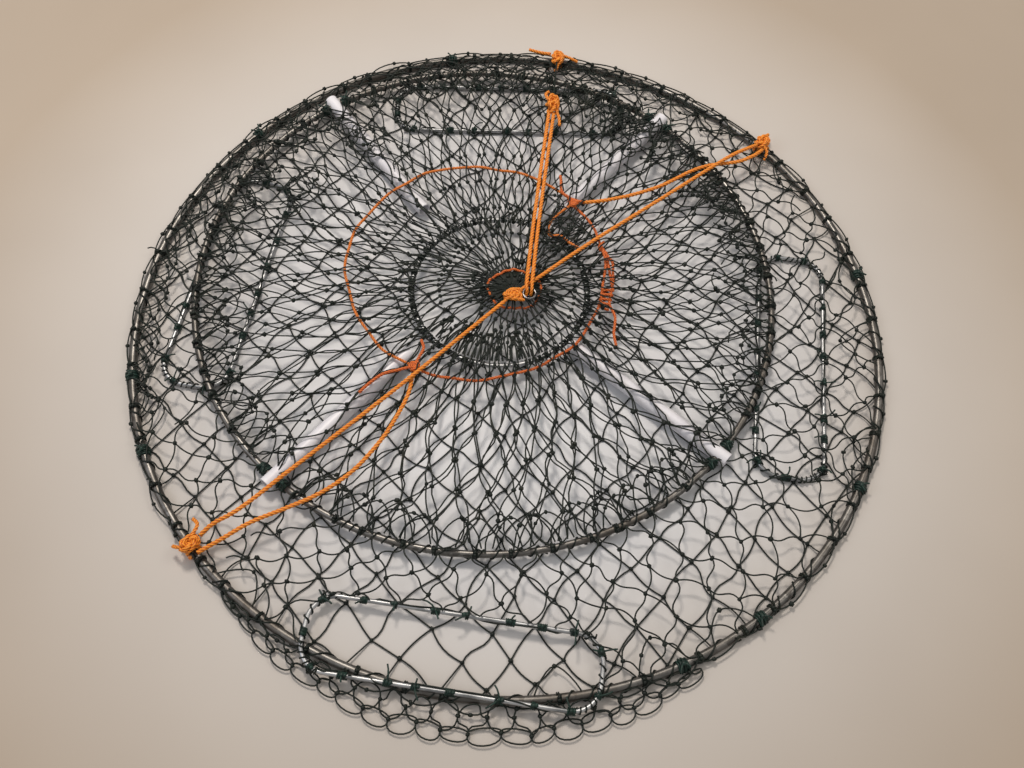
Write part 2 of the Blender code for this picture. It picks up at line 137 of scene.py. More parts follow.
for name, spot, size, power, colour in (
        ("lamp_far", (-0.35, 1.15, 2.3), 0.52, 37, "#FFF4E8"),
        ("lamp_left", (-2.2, -0.6, 2.0), 1.6, 15, "#F4F6FF"),
        ("lamp_right", (1.9, 0.2, 2.4), 1.2, 12, "#FFF6EC")):
    lamp_data = bpy.data.lights.new(name, "AREA")
    lamp_data.shape = "DISK"
    lamp_data.size = size
    lamp_data.energy = power
    lamp_data.color = linear(colour)[:3]
    lamp = put_in_scene(name, lamp_data)
    aim = -Vector(spot)
    lamp.matrix_world = Matrix.Translation(spot) @ aim.to_track_quat("-Z", "Y").to_matrix().to_4x4()

world = bpy.data.worlds.new("studio")
world.use_nodes = True
world.node_tree.nodes["Background"].inputs["Color"].default_value = linear("#E9E6E2")
world.node_tree.nodes["Background"].inputs["Strength"].default_value = 0.46
bpy.context.scene.world = world
bpy.context.scene.view_settings.view_transform = "Standard"


# --- Bridle and drawcord ropes ---------------------------------------------------------------
# Orange polypropylene rope of three strands, 5.4 mm thick. Two taut legs and a doubled one meet at
# the pull ring, and the slack ends of the drawcord run back to the base hoop.

ROPE, ROPE_LAY = 0.0054, 0.0150
# heights of the ropes' centres: taut legs, slack cords, and the doubled leg where it crosses a leg
LEG_Z, CORD_Z, OVER_LEG_Z = 0.0339, 0.0282, 0.0396


def rope_material(name, painted_groove_shade, side, top, soil):
    """Laid polypropylene, a little soiled; painted light on the strands' crowns and painted shade in their
    grooves.
    """
    made, tree, place = new_material(name)
    painted_crown_light = add_node(tree, "ShaderNodeAttribute", attribute_name="painted_crown_light")
    # painted light and shade: the grooves between the strands are painted dark, the crowns painted lighter
    depth = ramp(add_node(tree, "ShaderNodeValToRGB", {"Fac": painted_crown_light.outputs["Fac"]}),
        ((0.05, painted_groove_shade), (0.50, side), (1.0, top)))
    # filaments of 0.05 mm can't show, so the fibre pattern is drawn at 0.8 mm
    fibres = add_node(tree, "ShaderNodeTexNoise", {"Vector": place, "Scale": 1200.0, "Detail": 2.0})
    dirt = add_node(tree, "ShaderNodeTexNoise", {"Vector": place, "Scale": 35.0})
    faint = add_node(tree, "ShaderNodeMath", {0: dirt, 1: 0.45}, operation="MULTIPLY")
    soiled = add_node(tree, "ShaderNodeMix", {"Factor": faint, 6: depth, 7: linear(soil)}, data_type="RGBA")
    bumps = add_node(tree, "ShaderNodeBump", {"Height": fibres, "Strength": 0.35, "Distance": 0.0004})
    skin = add_node(tree, "ShaderNodeBsdfPrincipled",
        {"Base Color": soiled.outputs[2], "Roughness": 0.5, "Sheen Weight": 0.1, "Normal": bumps})
    add_node(tree, "ShaderNodeOutputMaterial", {"Surface": skin})
    return made


# new orange polypropylene of the bridle, and the drawcords' duller and redder ones, worn in the meshes
# each gives the painted shade of its grooves, its strands' sides, the painted light on their crowns, and its
# soil
laid_rope = rope_material("laid_polypropylene", "#A34604", "#F88A0C", "#FFB036", "#EE8420")
dull_rope = rope_material("dull_drawcord_polypropylene", "#8E3C06", "#E67410", "#F89A32", "#D87220")
worn_rope = rope_material("worn_drawcord_polypropylene", "#84300A", "#DA5E12", "#F28530", "#CE6420")


def new_geometry_tree(name, **inputs):
    """A geometry tree with named inputs and a material. It comes with its inputs, with its lines as
    curves, and with the radius to sweep along them, which is half the first input."""
    tree = bpy.data.node_groups.new(name, "GeometryNodeTree")
    for label, kind in {"Geometry": "Geometry", **inputs, "Material": "Material"}.items():
        tree.interface.new_socket(label, in_out="INPUT", socket_type="NodeSocket" + kind)
    tree.interface.new_socket("Geometry", in_out="OUTPUT", socket_type="NodeSocketGeometry")
    given = tree.nodes.new("NodeGroupInput").outputs
    curves = add_node(tree, "GeometryNodeMeshToCurve", {"Mesh": given["Geometry"]})
    radius = add_node(tree, "ShaderNodeMath", {0: given[1], 1: 0.5}, operation="MULTIPLY")
    return tree, given, curves, radius


def end_tree(tree, given, shape):
    """Makes the shape real, coats it with the material given, and ends the tree with it."""
    whole = add_node(tree, "GeometryNodeRealizeInstances", {0: shape})
    coated = add_node(tree, "GeometryNodeSetMaterial", {0: whole, "Material": given["Material"]})
    add_node(tree, "NodeGroupOutput", {0: coated})


# The rope tree sweeps three joined strands along the route and turns them once in each lay
rope_tree, given, route, radius = new_geometry_tree("laid_rope", Diameter="Float", Lay="Float")
steps = add_node(rope_tree, "GeometryNodeResampleCurve", {"Curve": route, "Length": 0.0017}, mode="LENGTH")
along = add_node(rope_tree, "GeometryNodeSplineParameter")
turns = add_node(rope_tree, "ShaderNodeMath", {0: along.outputs["Length"], 1: given["Lay"]},
    operation="DIVIDE")
tilt = add_node(rope_tree, "ShaderNodeMath", {0: turns, 1: tau}, operation="MULTIPLY")
twisted = add_node(rope_tree, "GeometryNodeSetCurveTilt", {"Curve": steps, "Tilt": tilt})
circle = add_node(rope_tree, "GeometryNodeCurvePrimitiveCircle", {"Resolution": 15, "Radius": radius})
spot = add_node(rope_tree, "GeometryNodeInputPosition")
parts = add_node(rope_tree, "ShaderNodeSeparateXYZ", {"Vector": spot})
angle = add_node(rope_tree, "ShaderNodeMath", {0: parts.outputs["Y"], 1: parts.outputs["X"]},
    operation="ARCTAN2")
third = add_node(rope_tree, "ShaderNodeMath", {0: angle, 1: 3.0}, operation="MULTIPLY")
wave = add_node(rope_tree, "ShaderNodeMath", {0: third}, operation="COSINE")
# each point's share of a strand's crown, which the rope's material turns into painted light and shade, and
# how far in the grooves are drawn
painted_crown_light, reach = (add_node(rope_tree, "ShaderNodeMapRange",
    {"Value": wave, "From Min": -1.0, "To Min": low, "To Max": high})
    for low, high in ((0.0, 1.0), (-0.27, 0.0)))
inward = add_node(rope_tree, "ShaderNodeVectorMath", {0: spot, 3: reach}, operation="SCALE")
marked = add_node(rope_tree, "GeometryNodeStoreNamedAttribute",
    {"Geometry": circle, "Name": "painted_crown_light", "Value": painted_crown_light})
strands = add_node(rope_tree, "GeometryNodeSetPosition", {"Geometry": marked, "Offset": inward})
end_tree(rope_tree, given, add_node(rope_tree, "GeometryNodeCurveToMesh",
    {"Curve": twisted, "Profile Curve": strands, "Fill Caps": True}))


def smooth_route(points, spacing):
    """Even points along a smooth curve through the route's own points."""
    points = [Vector(p) for p in points]
    ends = [points[0] * 2 - points[1]] + points + [points[-1] * 2 - points[-2]]
    fine = []
    for a, b, c, d in zip(ends, ends[1:], ends[2:], ends[3:]):
        for step in range(24):
            t = step / 24
            fine.append(((2 * b) + (c - a) * t + (2 * a - 5 * b + 4 * c - d) * t * t
                + (3 * b - 3 * c + d - a) * t ** 3) / 2)
    fine.append(points[-1])
    length = sum((b - a).length for a, b in zip(fine, fine[1:]))
    count = max(3, round(length / spacing))
    even, walked, target = [fine[0]], 0, length / count
    for a, b in zip(fine, fine[1:]):
        walked += (b - a).length
        if walked >= target - 1e-9 and len(even) < count:
            even.append(b)
            target += length / count
    even.append(fine[-1])
    return even


def route_length(route):
    return sum((Vector(b) - Vector(a)).length for a, b in zip(route, route[1:]))


def grow(name, lines, tree, inputs, marks=()):
    """A plain mesh that a geometry tree makes from lines of points. marks are loose points for it."""
    verts, edges, flags = [], [], []
    for points, closed in lines:
        first = len(verts)
        verts += [tuple(p) for p in points]
        flags += [0.0] * len(points)
        edges += [(first + i, first + i + 1) for i in range(len(points) - 1)]
        if closed:
            edges.append((len(verts) - 1, first))
    verts += [tuple(p) for p in marks]
    flags += [1.0] * len(marks)
    guide = bpy.data.meshes.new(name + "_guide")
    guide.from_pydata(verts, edges, [])
    guide.attributes.new("knot", "FLOAT", "POINT").data.foreach_set("value", flags)
    holder = put_in_scene(name + "_guide", guide)
    growth = holder.modifiers.new("growth", "NODES")
    growth.node_group = tree
    for item in tree.interface.items_tree:
        if item.in_out == "INPUT" and item.name in inputs:
            growth[item.identifier] = inputs[item.name]
    bpy.context.view_layer.update()
    graph = bpy.context.evaluated_depsgraph_get()
    made = bpy.data.meshes.new_from_object(holder.evaluated_get(graph))
    made.name = name
    bpy.data.objects.remove(holder, do_unlink=True)
    made.shade_smooth()
    return put_in_scene(name, made)


def lay_rope(name, routes, closed_routes=(), diameter=ROPE, finish=laid_rope):
    """One rope piece along its routes."""
    lines = [(route, True) for route in closed_routes] + [(route, False) for route in routes]
    return grow(name, lines, rope_tree, {"Diameter": diameter, "Lay": ROPE_LAY * diameter / ROPE,
        "Material": finish})


left_leg = smooth_route(((-0.3412, -0.2705, 0.0215), (-0.3275, -0.2605, 0.0285), (-0.306, -0.2510, LEG_Z),
    (-0.284, -0.2335, LEG_Z), (-0.255, -0.2075, LEG_Z), (-0.2143, -0.1722, LEG_Z),
    (-0.1285, -0.0970, LEG_Z), (-0.008, 0.0135, LEG_Z)), 0.012)
right_leg = smooth_route(((0.3424, 0.2696, 0.0215), (0.327, 0.2575, 0.0290), (0.300, 0.2400, LEG_Z),
    (0.2529, 0.2070, LEG_Z), (0.1846, 0.1583, LEG_Z), (0.100, 0.0980, LEG_Z), (0.0356, 0.0485, LEG_Z),
    (0.014, 0.0310, LEG_Z)), 0.012)
slack_left = smooth_route(((-0.3425, -0.2893, 0.0195), (-0.318, -0.2770, 0.0245), (-0.288, -0.2600, CORD_Z),
    (-0.250, -0.2440, CORD_Z), (-0.214, -0.2270, CORD_Z), (-0.180, -0.2010, CORD_Z),
    (-0.151, -0.1650, CORD_Z), (-0.136, -0.1390, CORD_Z), (-0.122, -0.1090, CORD_Z),
    (-0.1165, -0.0812, CORD_Z)), 0.010)
slack_right = smooth_route(((0.3495, 0.2615, 0.0215), (0.334, 0.2460, 0.0275), (0.310, 0.2350, CORD_Z),
    (0.275, 0.2300, CORD_Z), (0.248, 0.2205, CORD_Z), (0.223, 0.2060, CORD_Z), (0.1995, 0.1934, CORD_Z),
    (0.164, 0.1805, CORD_Z), (0.136, 0.1735, CORD_Z), (0.1165, 0.1702, CORD_Z), (0.1000, 0.1690, CORD_Z)),
    0.010)
for name, route, node, lay in (("rope_leg_left", left_leg, "bridle_leg_left", "taut"),
        ("rope_leg_right", right_leg, "bridle_leg_right", "taut"),
        ("rope_slack_left", slack_left, "slack_cord_left", "loose"),
        ("rope_slack_right", slack_right, "slack_cord_right", "loose")):
    rope = lay_rope(name, [route])
    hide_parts(node)
    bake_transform(rope)

apart = ROPE / 2 + 0.0006
for letter, side in (("a", -apart), ("b", apart)):
    top_leg = smooth_route(((0.0235 + side, 0.0345, OVER_LEG_Z), (0.0275 + side, 0.0640, OVER_LEG_Z),
        (0.036 + side, 0.1250, LEG_Z), (0.050 + side, 0.2150, LEG_Z), (0.0665 + side, 0.3165, LEG_Z)),
        0.012)
    rope = lay_rope(f"rope_leg_top_{letter}", [top_leg])
    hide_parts(f"bridle_leg_top_{letter}")
    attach(rope, "top_frame")


# --- Hoops, neck ring and entry loops --------------------------------------------------------
# The base and top hoops are drawn steel rods, bent, butt-welded and dip galvanised. The neck ring
# and the four entry loops are thinner wire with a bright zinc coat.

# hot-dip galvanised steel: dark grey spangle, streaked brown where it has been handled
galvanised, tree, place = new_material("galvanised_rod")
spangle = add_node(tree, "ShaderNodeTexVoronoi", {"Vector": place, "Scale": 130.0})
stains = add_node(tree, "ShaderNodeTexNoise", {"Vector": place, "Scale": 9.0, "Detail": 5.0})
zinc_grey = ramp(add_node(tree, "ShaderNodeValToRGB", {"Fac": spangle.outputs["Color"]}),
    ((0.0, "#5A5855"), (1.0, "#8A8885")))
brown = ramp(add_node(tree, "ShaderNodeValToRGB", {"Fac": stains}), ((0.42, "#000000"), (0.66, "#B0B0B0")))
stained = add_node(tree, "ShaderNodeMix", {"Factor": brown, 6: zinc_grey, 7: linear("#4B4034")},
    data_type="RGBA")
dullness = add_node(tree, "ShaderNodeMapRange",
    {"Value": stains, "From Min": 0.3, "From Max": 0.7, "To Min": 0.34, "To Max": 0.50})
pits = add_node(tree, "ShaderNodeBump", {"Height": stains, "Strength": 0.2, "Distance": 0.0005})
rod_skin = add_node(tree, "ShaderNodeBsdfPrincipled",
    {"Base Color": stained.outputs[2], "Metallic": 0.95, "Roughness": dullness, "Normal": pits})
add_node(tree, "ShaderNodeOutputMaterial", {"Surface": rod_skin})


def cloudy_material(name, scale, stops, roughness, inputs, detail=2.0, harshness=0.5, grit=None):
    """A material that one cloudy pattern tints. A pair as roughness follows the pattern too, and grit
    is the scale of a finer bump."""
    made, tree, place = new_material(name)
    cloud = add_node(tree, "ShaderNodeTexNoise",
        {"Vector": place, "Scale": scale, "Detail": detail, "Roughness": harshness})
    tint = ramp(add_node(tree, "ShaderNodeValToRGB", {"Fac": cloud}), stops)
    if isinstance(roughness, tuple):
        roughness = add_node(tree, "ShaderNodeMapRange",
            {"Value": cloud, "To Min": roughness[0], "To Max": roughness[1]})
    inputs = {"Base Color": tint, "Roughness": roughness, **inputs}
    if grit:
        fine = add_node(tree, "ShaderNodeTexNoise", {"Vector": place, "Scale": grit})
        inputs["Normal"] = add_node(tree, "ShaderNodeBump",
            {"Height": fine, "Strength": 0.4, "Distance": 0.0003})
    skin = add_node(tree, "ShaderNodeBsdfPrincipled", inputs)
    add_node(tree, "ShaderNodeOutputMaterial", {"Surface": skin})
    return made


# bright electroplated zinc: silver grey with a faint blue, softly clouded
bright_zinc = cloudy_material("bright_zinc_wire", 45.0, ((0.38, "#8C8E90"), (0.60, "#C2C4C6")),
    (0.36, 0.47), {"Metallic": 1.0})

# The rod tree sweeps a round rod along a closed line
rod_tree, given, route, radius = new_geometry_tree("bent_rod", Diameter="Float", Sides="Int")
circle = add_node(rod_tree, "GeometryNodeCurvePrimitiveCircle",
    {"Resolution": given["Sides"], "Radius": radius})
end_tree(rod_tree, given, add_node(rod_tree, "GeometryNodeCurveToMesh",
    {"Curve": route, "Profile Curve": circle, "Fill Caps": True}))


def toward(angle):
    return Vector((cos(angle), sin(angle), 0))


def upward(z):
    return Vector((0, 0, z))


def on_ring(centre, angle, radius, z):
    """A point at an angle on a level ring."""
    return centre + toward(angle) * radius + Vector((0, 0, z))


def keep_above(piece, lowest):
    """Presses up what hangs below a height."""
    for vert in piece.data.vertices:
        vert.co.z = max(vert.co.z, lowest)


def bend_ring(name, hoop, weld_at, finish, count=240, sides=20):
    """A rod bent to a ring, with a low swelling where its two ends are welded."""
    centre, radius, z, rod = hoop
    line = [on_ring(centre, tau * i / count, radius, z) for i in range(count)]
    ring = grow(name, [(line, True)], rod_tree, {"Diameter": rod, "Sides": sides, "Material": finish})
    weld, reach = on_ring(centre, radians(weld_at), radius, z), rod * 1.6
    for vert in ring.data.vertices:
        away = (vert.co - weld).length
        if away < reach:
            turn = atan2(vert.co.y - centre.y, vert.co.x - centre.x)
            out = vert.co - on_ring(centre, turn, radius, z)
            vert.co += out * 0.14 * (1 - (away / reach) ** 2)
    return ring


ORIGIN = Vector((0, 0, 0))
TOP_CENTRE, NECK_CENTRE = Vector((-0.0280, 0.0580, 0)), Vector((-0.0120, 0.0410, 0))
BASE_RADIUS, BASE_ROD, BASE_Z = 0.450, 0.010, 0.005
TOP_RADIUS, TOP_ROD, TOP_Z = 0.355, 0.008, 0.0128
NECK_RADIUS, NECK_WIRE, NECK_Z = 0.108, 0.005, 0.0193
# each hoop's centre, radius, height and rod
BASE_HOOP = ORIGIN, BASE_RADIUS, BASE_Z, BASE_ROD
TOP_HOOP = TOP_CENTRE, TOP_RADIUS, TOP_Z, TOP_ROD
NECK_RING = NECK_CENTRE, NECK_RADIUS, NECK_Z, NECK_WIRE

base_hoop = bend_ring("base_hoop", BASE_HOOP, 112, galvanised)
keep_above(base_hoop, 0.0)
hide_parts("base_ring")
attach(base_hoop, "base_frame")

top_hoop = bend_ring("top_hoop", TOP_HOOP, 262, galvanised)
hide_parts("top_ring")
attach(top_hoop, "top_frame")

neck_hoop = bend_ring("neck_hoop", NECK_RING, 30, bright_zinc, 120, 16)
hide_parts("neck_ring")
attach(neck_hoop, "top_frame")

# each loop's direction, how far out its middle lies, and its height
LOOPS = ((radians(88), 0.352, 0.0045), (radians(168), 0.353, 0.0045), (radians(259.5), 0.408, 0.0128),
    (radians(350), 0.343, 0.0045))
LOOP_WIRE, LOOP_LENGTH, LOOP_WIDTH, LOOP_CORNER = 0.005, 0.310, 0.080, 0.030


def loop_outline(angle, radius, z, per_corner=10):
    """The rounded rectangle of an entry loop, its long sides across the given direction."""
    frame_of_loop = Matrix.Translation(on_ring(ORIGIN, angle, radius, z)) @ Matrix.Rotation(angle, 4, "Z")
    long, wide = LOOP_LENGTH / 2 - LOOP_CORNER, LOOP_WIDTH / 2 - LOOP_CORNER
    points = []
    for quarter, (sx, sy) in enumerate(((1, 1), (-1, 1), (-1, -1), (1, -1))):
        for step in range(per_corner + 1):
            turn = pi / 2 * (quarter + step / per_corner)
            points.append(frame_of_loop @ (Vector((sx * wide, sy * long, 0)) + toward(turn) * LOOP_CORNER))
    return points


for number, (angle, radius, z) in enumerate(LOOPS, 1):
    entry = grow(f"entry_wire_{number}", [(loop_outline(angle, radius, z), True)], rod_tree,
        {"Diameter": LOOP_WIRE, "Sides": 16, "Material": bright_zinc})
    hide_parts(f"entry_loop_{number}")
    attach(entry, f"entry_{number}_body")


# --- Prop tubes ------------------------------------------------------------------------------
# Four pieces of white electrical PVC conduit, sawn square and cross-drilled near one end. The top
# hoop runs through the holes, so each tube swings on it and stands the trap open.

# extruded PVC: satin white with a lilac shade, scuffed along its length
pvc = cloudy_material("white_pvc_conduit", 42.0, ((0.30, "#DBD9E1"), (0.52, "#E7E6EC"), (0.80, "#EFEEF2")),
    (0.28, 0.5), {"IOR": 1.53}, 6.0, 0.7)

# size of a tube, how far its hole lies from its near end, its sawn edge and its hole
TUBE, TUBE_WALL, TUBE_LENGTH, TUBE_END = 0.018, 0.0018, 0.230, 0.012
SAWN_EDGE, HOLE_RADIUS, BESIDE_HOLE = 0.0004, 0.0052, 0.0075


def mid_mesh(number):
    """The middle of one of the 28 wide meshes where the base hoop's whippings and the tubes sit."""
    return radians(40.57 + (number + 0.5) * 360 / 28)


PROP_ANGLES = [mid_mesh(number) for number in (0, 6, 14, 21)]

outer, inner = TUBE / 2, TUBE / 2 - TUBE_WALL
near, far = TUBE_END, TUBE_END - TUBE_LENGTH
profile = [(near - SAWN_EDGE, outer), (near, outer - SAWN_EDGE), (near, inner), (BESIDE_HOLE, inner),
    (-BESIDE_HOLE, inner), (far, inner), (far, outer - SAWN_EDGE), (far + SAWN_EDGE, outer),
    (-BESIDE_HOLE, outer), (BESIDE_HOLE, outer)]
bm = bmesh.new()
verts = [bm.verts.new((x, 0, z)) for x, z in profile]
for here, there in zip(verts, verts[1:] + verts[:1]):
    bm.edges.new((here, there))
bmesh.ops.spin(bm, geom=bm.verts[:] + bm.edges[:], cent=(0, 0, 0), axis=(1, 0, 0), angle=tau, steps=48,
    use_merge=True)
bmesh.ops.remove_doubles(bm, verts=bm.verts, dist=0.000002)
bmesh.ops.recalc_face_normals(bm, faces=bm.faces)
blank = put_in_scene("tube_blank", bpy.data.meshes.new("tube"))
bm.to_mesh(blank.data)
bm.free()
bm = bmesh.new()
bmesh.ops.create_cone(bm, cap_ends=True, segments=24, radius1=HOLE_RADIUS, radius2=HOLE_RADIUS, depth=0.04)
bmesh.ops.rotate(bm, verts=bm.verts, cent=(0, 0, 0), matrix=Matrix.Rotation(pi / 2, 3, "X"))
drill = put_in_scene("drill", bpy.data.meshes.new("drill"))
bm.to_mesh(drill.data)
bm.free()
blank.modifiers.new("hole", "BOOLEAN").object = drill
bpy.context.view_layer.update()
drilled = bpy.data.meshes.new_from_object(blank.evaluated_get(bpy.context.evaluated_depsgraph_get()))
for used in (blank, drill):
    bpy.data.objects.remove(used, do_unlink=True)
drilled.materials.clear()
drilled.materials.append(pvc)
drilled.shade_smooth()
drilled.set_sharp_from_angle(angle=radians(35))
for number, angle in enumerate(PROP_ANGLES, 1):
    tube = put_in_scene(f"prop_tube_{number}", drilled.copy())
    tube.data.transform(Matrix.Translation(on_ring(TOP_CENTRE, angle, TOP_RADIUS, TOP_Z))
        @ Matrix.Rotation(angle, 4, "Z"))
    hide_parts(f"prop_{number}")
    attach(tube, f"prop_{number}_body")


# --- Netting ---------------------------------------------------------------------------------
# Knotted mesh of twisted green-black polyethylene twine, 42 mm from knot to knot, 54 meshes round
# the hoops. One net covers the ground side, one the slanting side, and two lie over the top hoop.

TWINE, KNOT, BAR, MESHES = 0.0018, 0.0064, 0.042, 54
THROAT, UP = Vector((0.004, 0.036, 0)), Vector((0, 0, 1))
random.seed(7)

# twisted polyethylene twine: green-black, waxy, browner where it is worn; its filaments of 0.2 mm are
# drawn at 0.6 mm so that they show at all
net_twine = cloudy_material("net_twine", 60.0, ((0.30, "#09110D"), (0.55, "#101B15"), (0.78, "#22241A")),
    0.5, {"Specular IOR Level": 0.35}, 3.0, grit=1600.0)

# The netting tree makes a twine of each line and ties a knot on each loose point
net_tree, given, route, radius = new_geometry_tree(
    "knotted_netting", Twine="Float", Knot="Float", Seed="Int")
circle = add_node(net_tree, "GeometryNodeCurvePrimitiveCircle", {"Resolution": 6, "Radius": radius})
twines = add_node(net_tree, "GeometryNodeCurveToMesh",
    {"Curve": route, "Profile Curve": circle, "Fill Caps": True})
half_knot = add_node(net_tree, "ShaderNodeMath", {0: given["Knot"], 1: 0.5}, operation="MULTIPLY")
lump = add_node(net_tree, "GeometryNodeMeshIcoSphere", {"Radius": half_knot, "Subdivisions": 1})
tied = add_node(net_tree, "GeometryNodeInputNamedAttribute", {"Name": "knot"}, data_type="FLOAT")
chosen = add_node(net_tree, "FunctionNodeCompare", {0: tied, 1: 0.5}, data_type="FLOAT",
    operation="GREATER_THAN")
turned_by, sized_by = (add_node(net_tree, "FunctionNodeRandomValue",
    {0: low, 1: high, "Seed": given["Seed"]}, data_type="FLOAT_VECTOR")
    for low, high in (((0.0, 0.0, 0.0), (tau, tau, tau)), ((0.75, 0.75, 0.65), (1.2, 1.1, 0.9))))
knots = add_node(net_tree, "GeometryNodeInstanceOnPoints",
    {"Points": given["Geometry"], "Selection": chosen, "Instance": lump, "Rotation": turned_by,
    "Scale": sized_by})
both = add_node(net_tree, "GeometryNodeJoinGeometry")
for part in (twines, knots):
    net_tree.links.new(part.outputs[0], both.inputs[0])
end_tree(net_tree, given, both)


def facing(angle, degrees):
    """How well a direction agrees with a bearing: 1 for the same one, -1 for the opposite one."""
    return cos(angle - radians(degrees))


def shares(count):
    """Even steps from 0 to 1."""
    return [step / count for step in range(count + 1)]


def drift(point, size, reach, salt=0.0):
    """Smooth wandering of a knot from its even place."""
    there = point / size + Vector((salt, salt * 1.7, salt * 0.3))
    return Vector((noise(there), noise(there + Vector((31.4, 0, 0))), 0)) * reach


def bar_between(a, b, steps=6, length=BAR, lift=0.35, bow_side=None, snaking=0.35):
    """One bar of the net from knot to knot, bowed or curled by what it has to spare."""
    length *= random.uniform(0.985, 1.025)
    span = max((b - a).length, 0.004)
    spare = max(length / span - 1, 0)
    bow = span * sqrt(0.375 * min(spare, 1.3))
    side = (b - a).cross(UP).normalized()
    side *= random.choice((-1, 1)) if bow_side is None else bow_side
    side = side * cos(lift) + UP * sin(lift) * random.uniform(-0.1, 0.9)
    snake = random.random() < snaking and spare < 0.6
    curl = (0.22 if spare > 0.75 else 0.08) * span * min(spare, 1.5)
    points = []
    for t in shares(steps):
        wave = sin(tau * t) * 0.55 if snake else sin(pi * t)
        ahead_by = -curl * sin(tau * t)
        points.append(a.lerp(b, t) + (b - a) / span * ahead_by + side * bow * wave)
    return points


def net_piece(name, lines, marks, seed, twine=TWINE, knot=KNOT, finish=net_twine):
    """One piece of netting: a twine along each line and a knot on each mark, all above the floor."""
    for points in lines:
        for point in points:
            point.z = max(point.z, 0.0012)
    piece = grow(name, [(points, False) for points in lines], net_tree,
        {"Twine": twine, "Knot": knot, "Seed": seed, "Material": finish}, marks)
    keep_above(piece, 0.0002)
    return piece


# the net of the ground side: even diamonds laced to the base hoop
lines, marks = [], []
WIDE, TALL, EDGE = 0.056, 0.0310, BASE_RADIUS - 0.005


def ground_knot(i, j):
    even = Vector(((i + 0.5 * (j % 2)) * WIDE + 0.012, j * TALL - 0.004, 0))
    out = even + drift(even, 0.16, 0.015) + drift(even, 0.045, 0.010, 5)
    return out + upward(0.0016 + 0.0006 * noise(even * 60))


for j in range(-16, 17):
    for i in range(-10, 11):
        here = ground_knot(i, j)
        inside = here.xy.length < EDGE
        if inside:
            marks.append(here)
        for ni in (i - 1 + j % 2, i + j % 2):
            there = ground_knot(ni, j + 1)
            if inside or there.xy.length < EDGE:
                a, b = (here, there) if inside else (there, here)
                if b.xy.length >= EDGE:
                    low, high = 0.0, 1.0
                    for _ in range(12):
                        mid = (low + high) / 2
                        low, high = (mid, high) if a.lerp(b, mid).xy.length < EDGE else (low, mid)
                    b = a.lerp(b, low) + upward(0.003)
                bent = bar_between(a, b, 6, (b - a).length * random.uniform(1.001, 1.014), 0,
                    (-1) ** (j + (ni < i)))
                lines.append(bent[:-1] + [b])
ground_net = net_piece("ground_net", lines, marks, 3)
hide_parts("base_net")
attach(ground_net, "base_frame")


def radii_of_rows(outer, inner):
    """Radii of the net's rows on the top hoop: tight bars, drawn in as the meshes narrow."""
    radii = [outer]
    while True:
        half = pi * radii[-1] / MESHES
        after = radii[-1] - 0.985 * sqrt(max(BAR ** 2 - half ** 2, 0.0001))
        if after < inner + 0.012:
            radii.append(inner)
            return radii
        radii.append(after)


def row_net(radii, outer_centre, inner_centre, phase, height, salt, wander):
    """Knots of a net drawn in from the top hoop to a smaller ring, row by row."""
    rows = []
    for row, radius in enumerate(radii):
        share = (radii[0] - radius) / (radii[0] - radii[-1])
        knots_of_row = []
        for column in range(MESHES):
            angle = phase + tau * (column + 0.5 * (row % 2)) / MESHES
            if radii[-1] < 0.05:
                # the throat sags, so at the bottom the last rows lie wider apart
                off = angle + pi / 2
                angle += (0.6 * max(0, min(1, (0.14 - radius) / 0.09)) * sin(off) * (1 + cos(off)) / 2)
            even = outer_centre.lerp(inner_centre, share) + toward(angle) * radius
            free = 0 if row in (0, len(radii) - 1) else 1
            place = even + drift(even, 0.11, wander, salt) * free + drift(even, 0.02, 0.003, salt) * free
            if free and radius < 0.07:
                place += toward(angle) * random.uniform(-0.006, 0.014)
            knots_of_row.append(place + upward(height(share)))
        rows.append(knots_of_row)
    return rows


def bars_of(rows):
    """Each bar between one row of knots and the next, with the number of its row."""
    for row in range(len(rows) - 1):
        for column in range(MESHES):
            for other in (column - 1 + row % 2, column + row % 2):
                yield row, rows[row][column], rows[row + 1][other % MESHES]


# the net behind, from the top hoop to loops that hang on the neck ring
neck_radii = radii_of_rows(TOP_RADIUS, NECK_RADIUS)
rows = row_net(neck_radii, TOP_CENTRE, NECK_CENTRE, 0.03,
    lambda share: 0.0190 + 0.0041 * min(share * 7, 1), 11, 0.007)
lines, marks = [], []
for row, a, b in bars_of(rows):
    spare = 1.022 if row else 1.25
    lines.append(bar_between(a, b, 4, (b - a).length * random.uniform(1.0, spare), lift=0.1))
    if row:
        marks.append(a)
for column in range(MESHES):
    angle = 0.03 + tau * (column + 0.5 * ((len(rows) - 1) % 2)) / MESHES
    spot = on_ring(NECK_CENTRE, angle, NECK_RADIUS, NECK_Z)
    lines.append([spot + toward(angle) * cos(turn) * 0.0036 + upward(0.0036 * sin(turn))
        + toward(angle + pi / 2) * 0.0012 * (turn / pi - 1)
        for turn in [pi * step / 4 for step in range(9)]])
neck_netting = net_piece("neck_netting", lines, marks, 5)
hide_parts("neck_net")
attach(neck_netting, "top_frame")

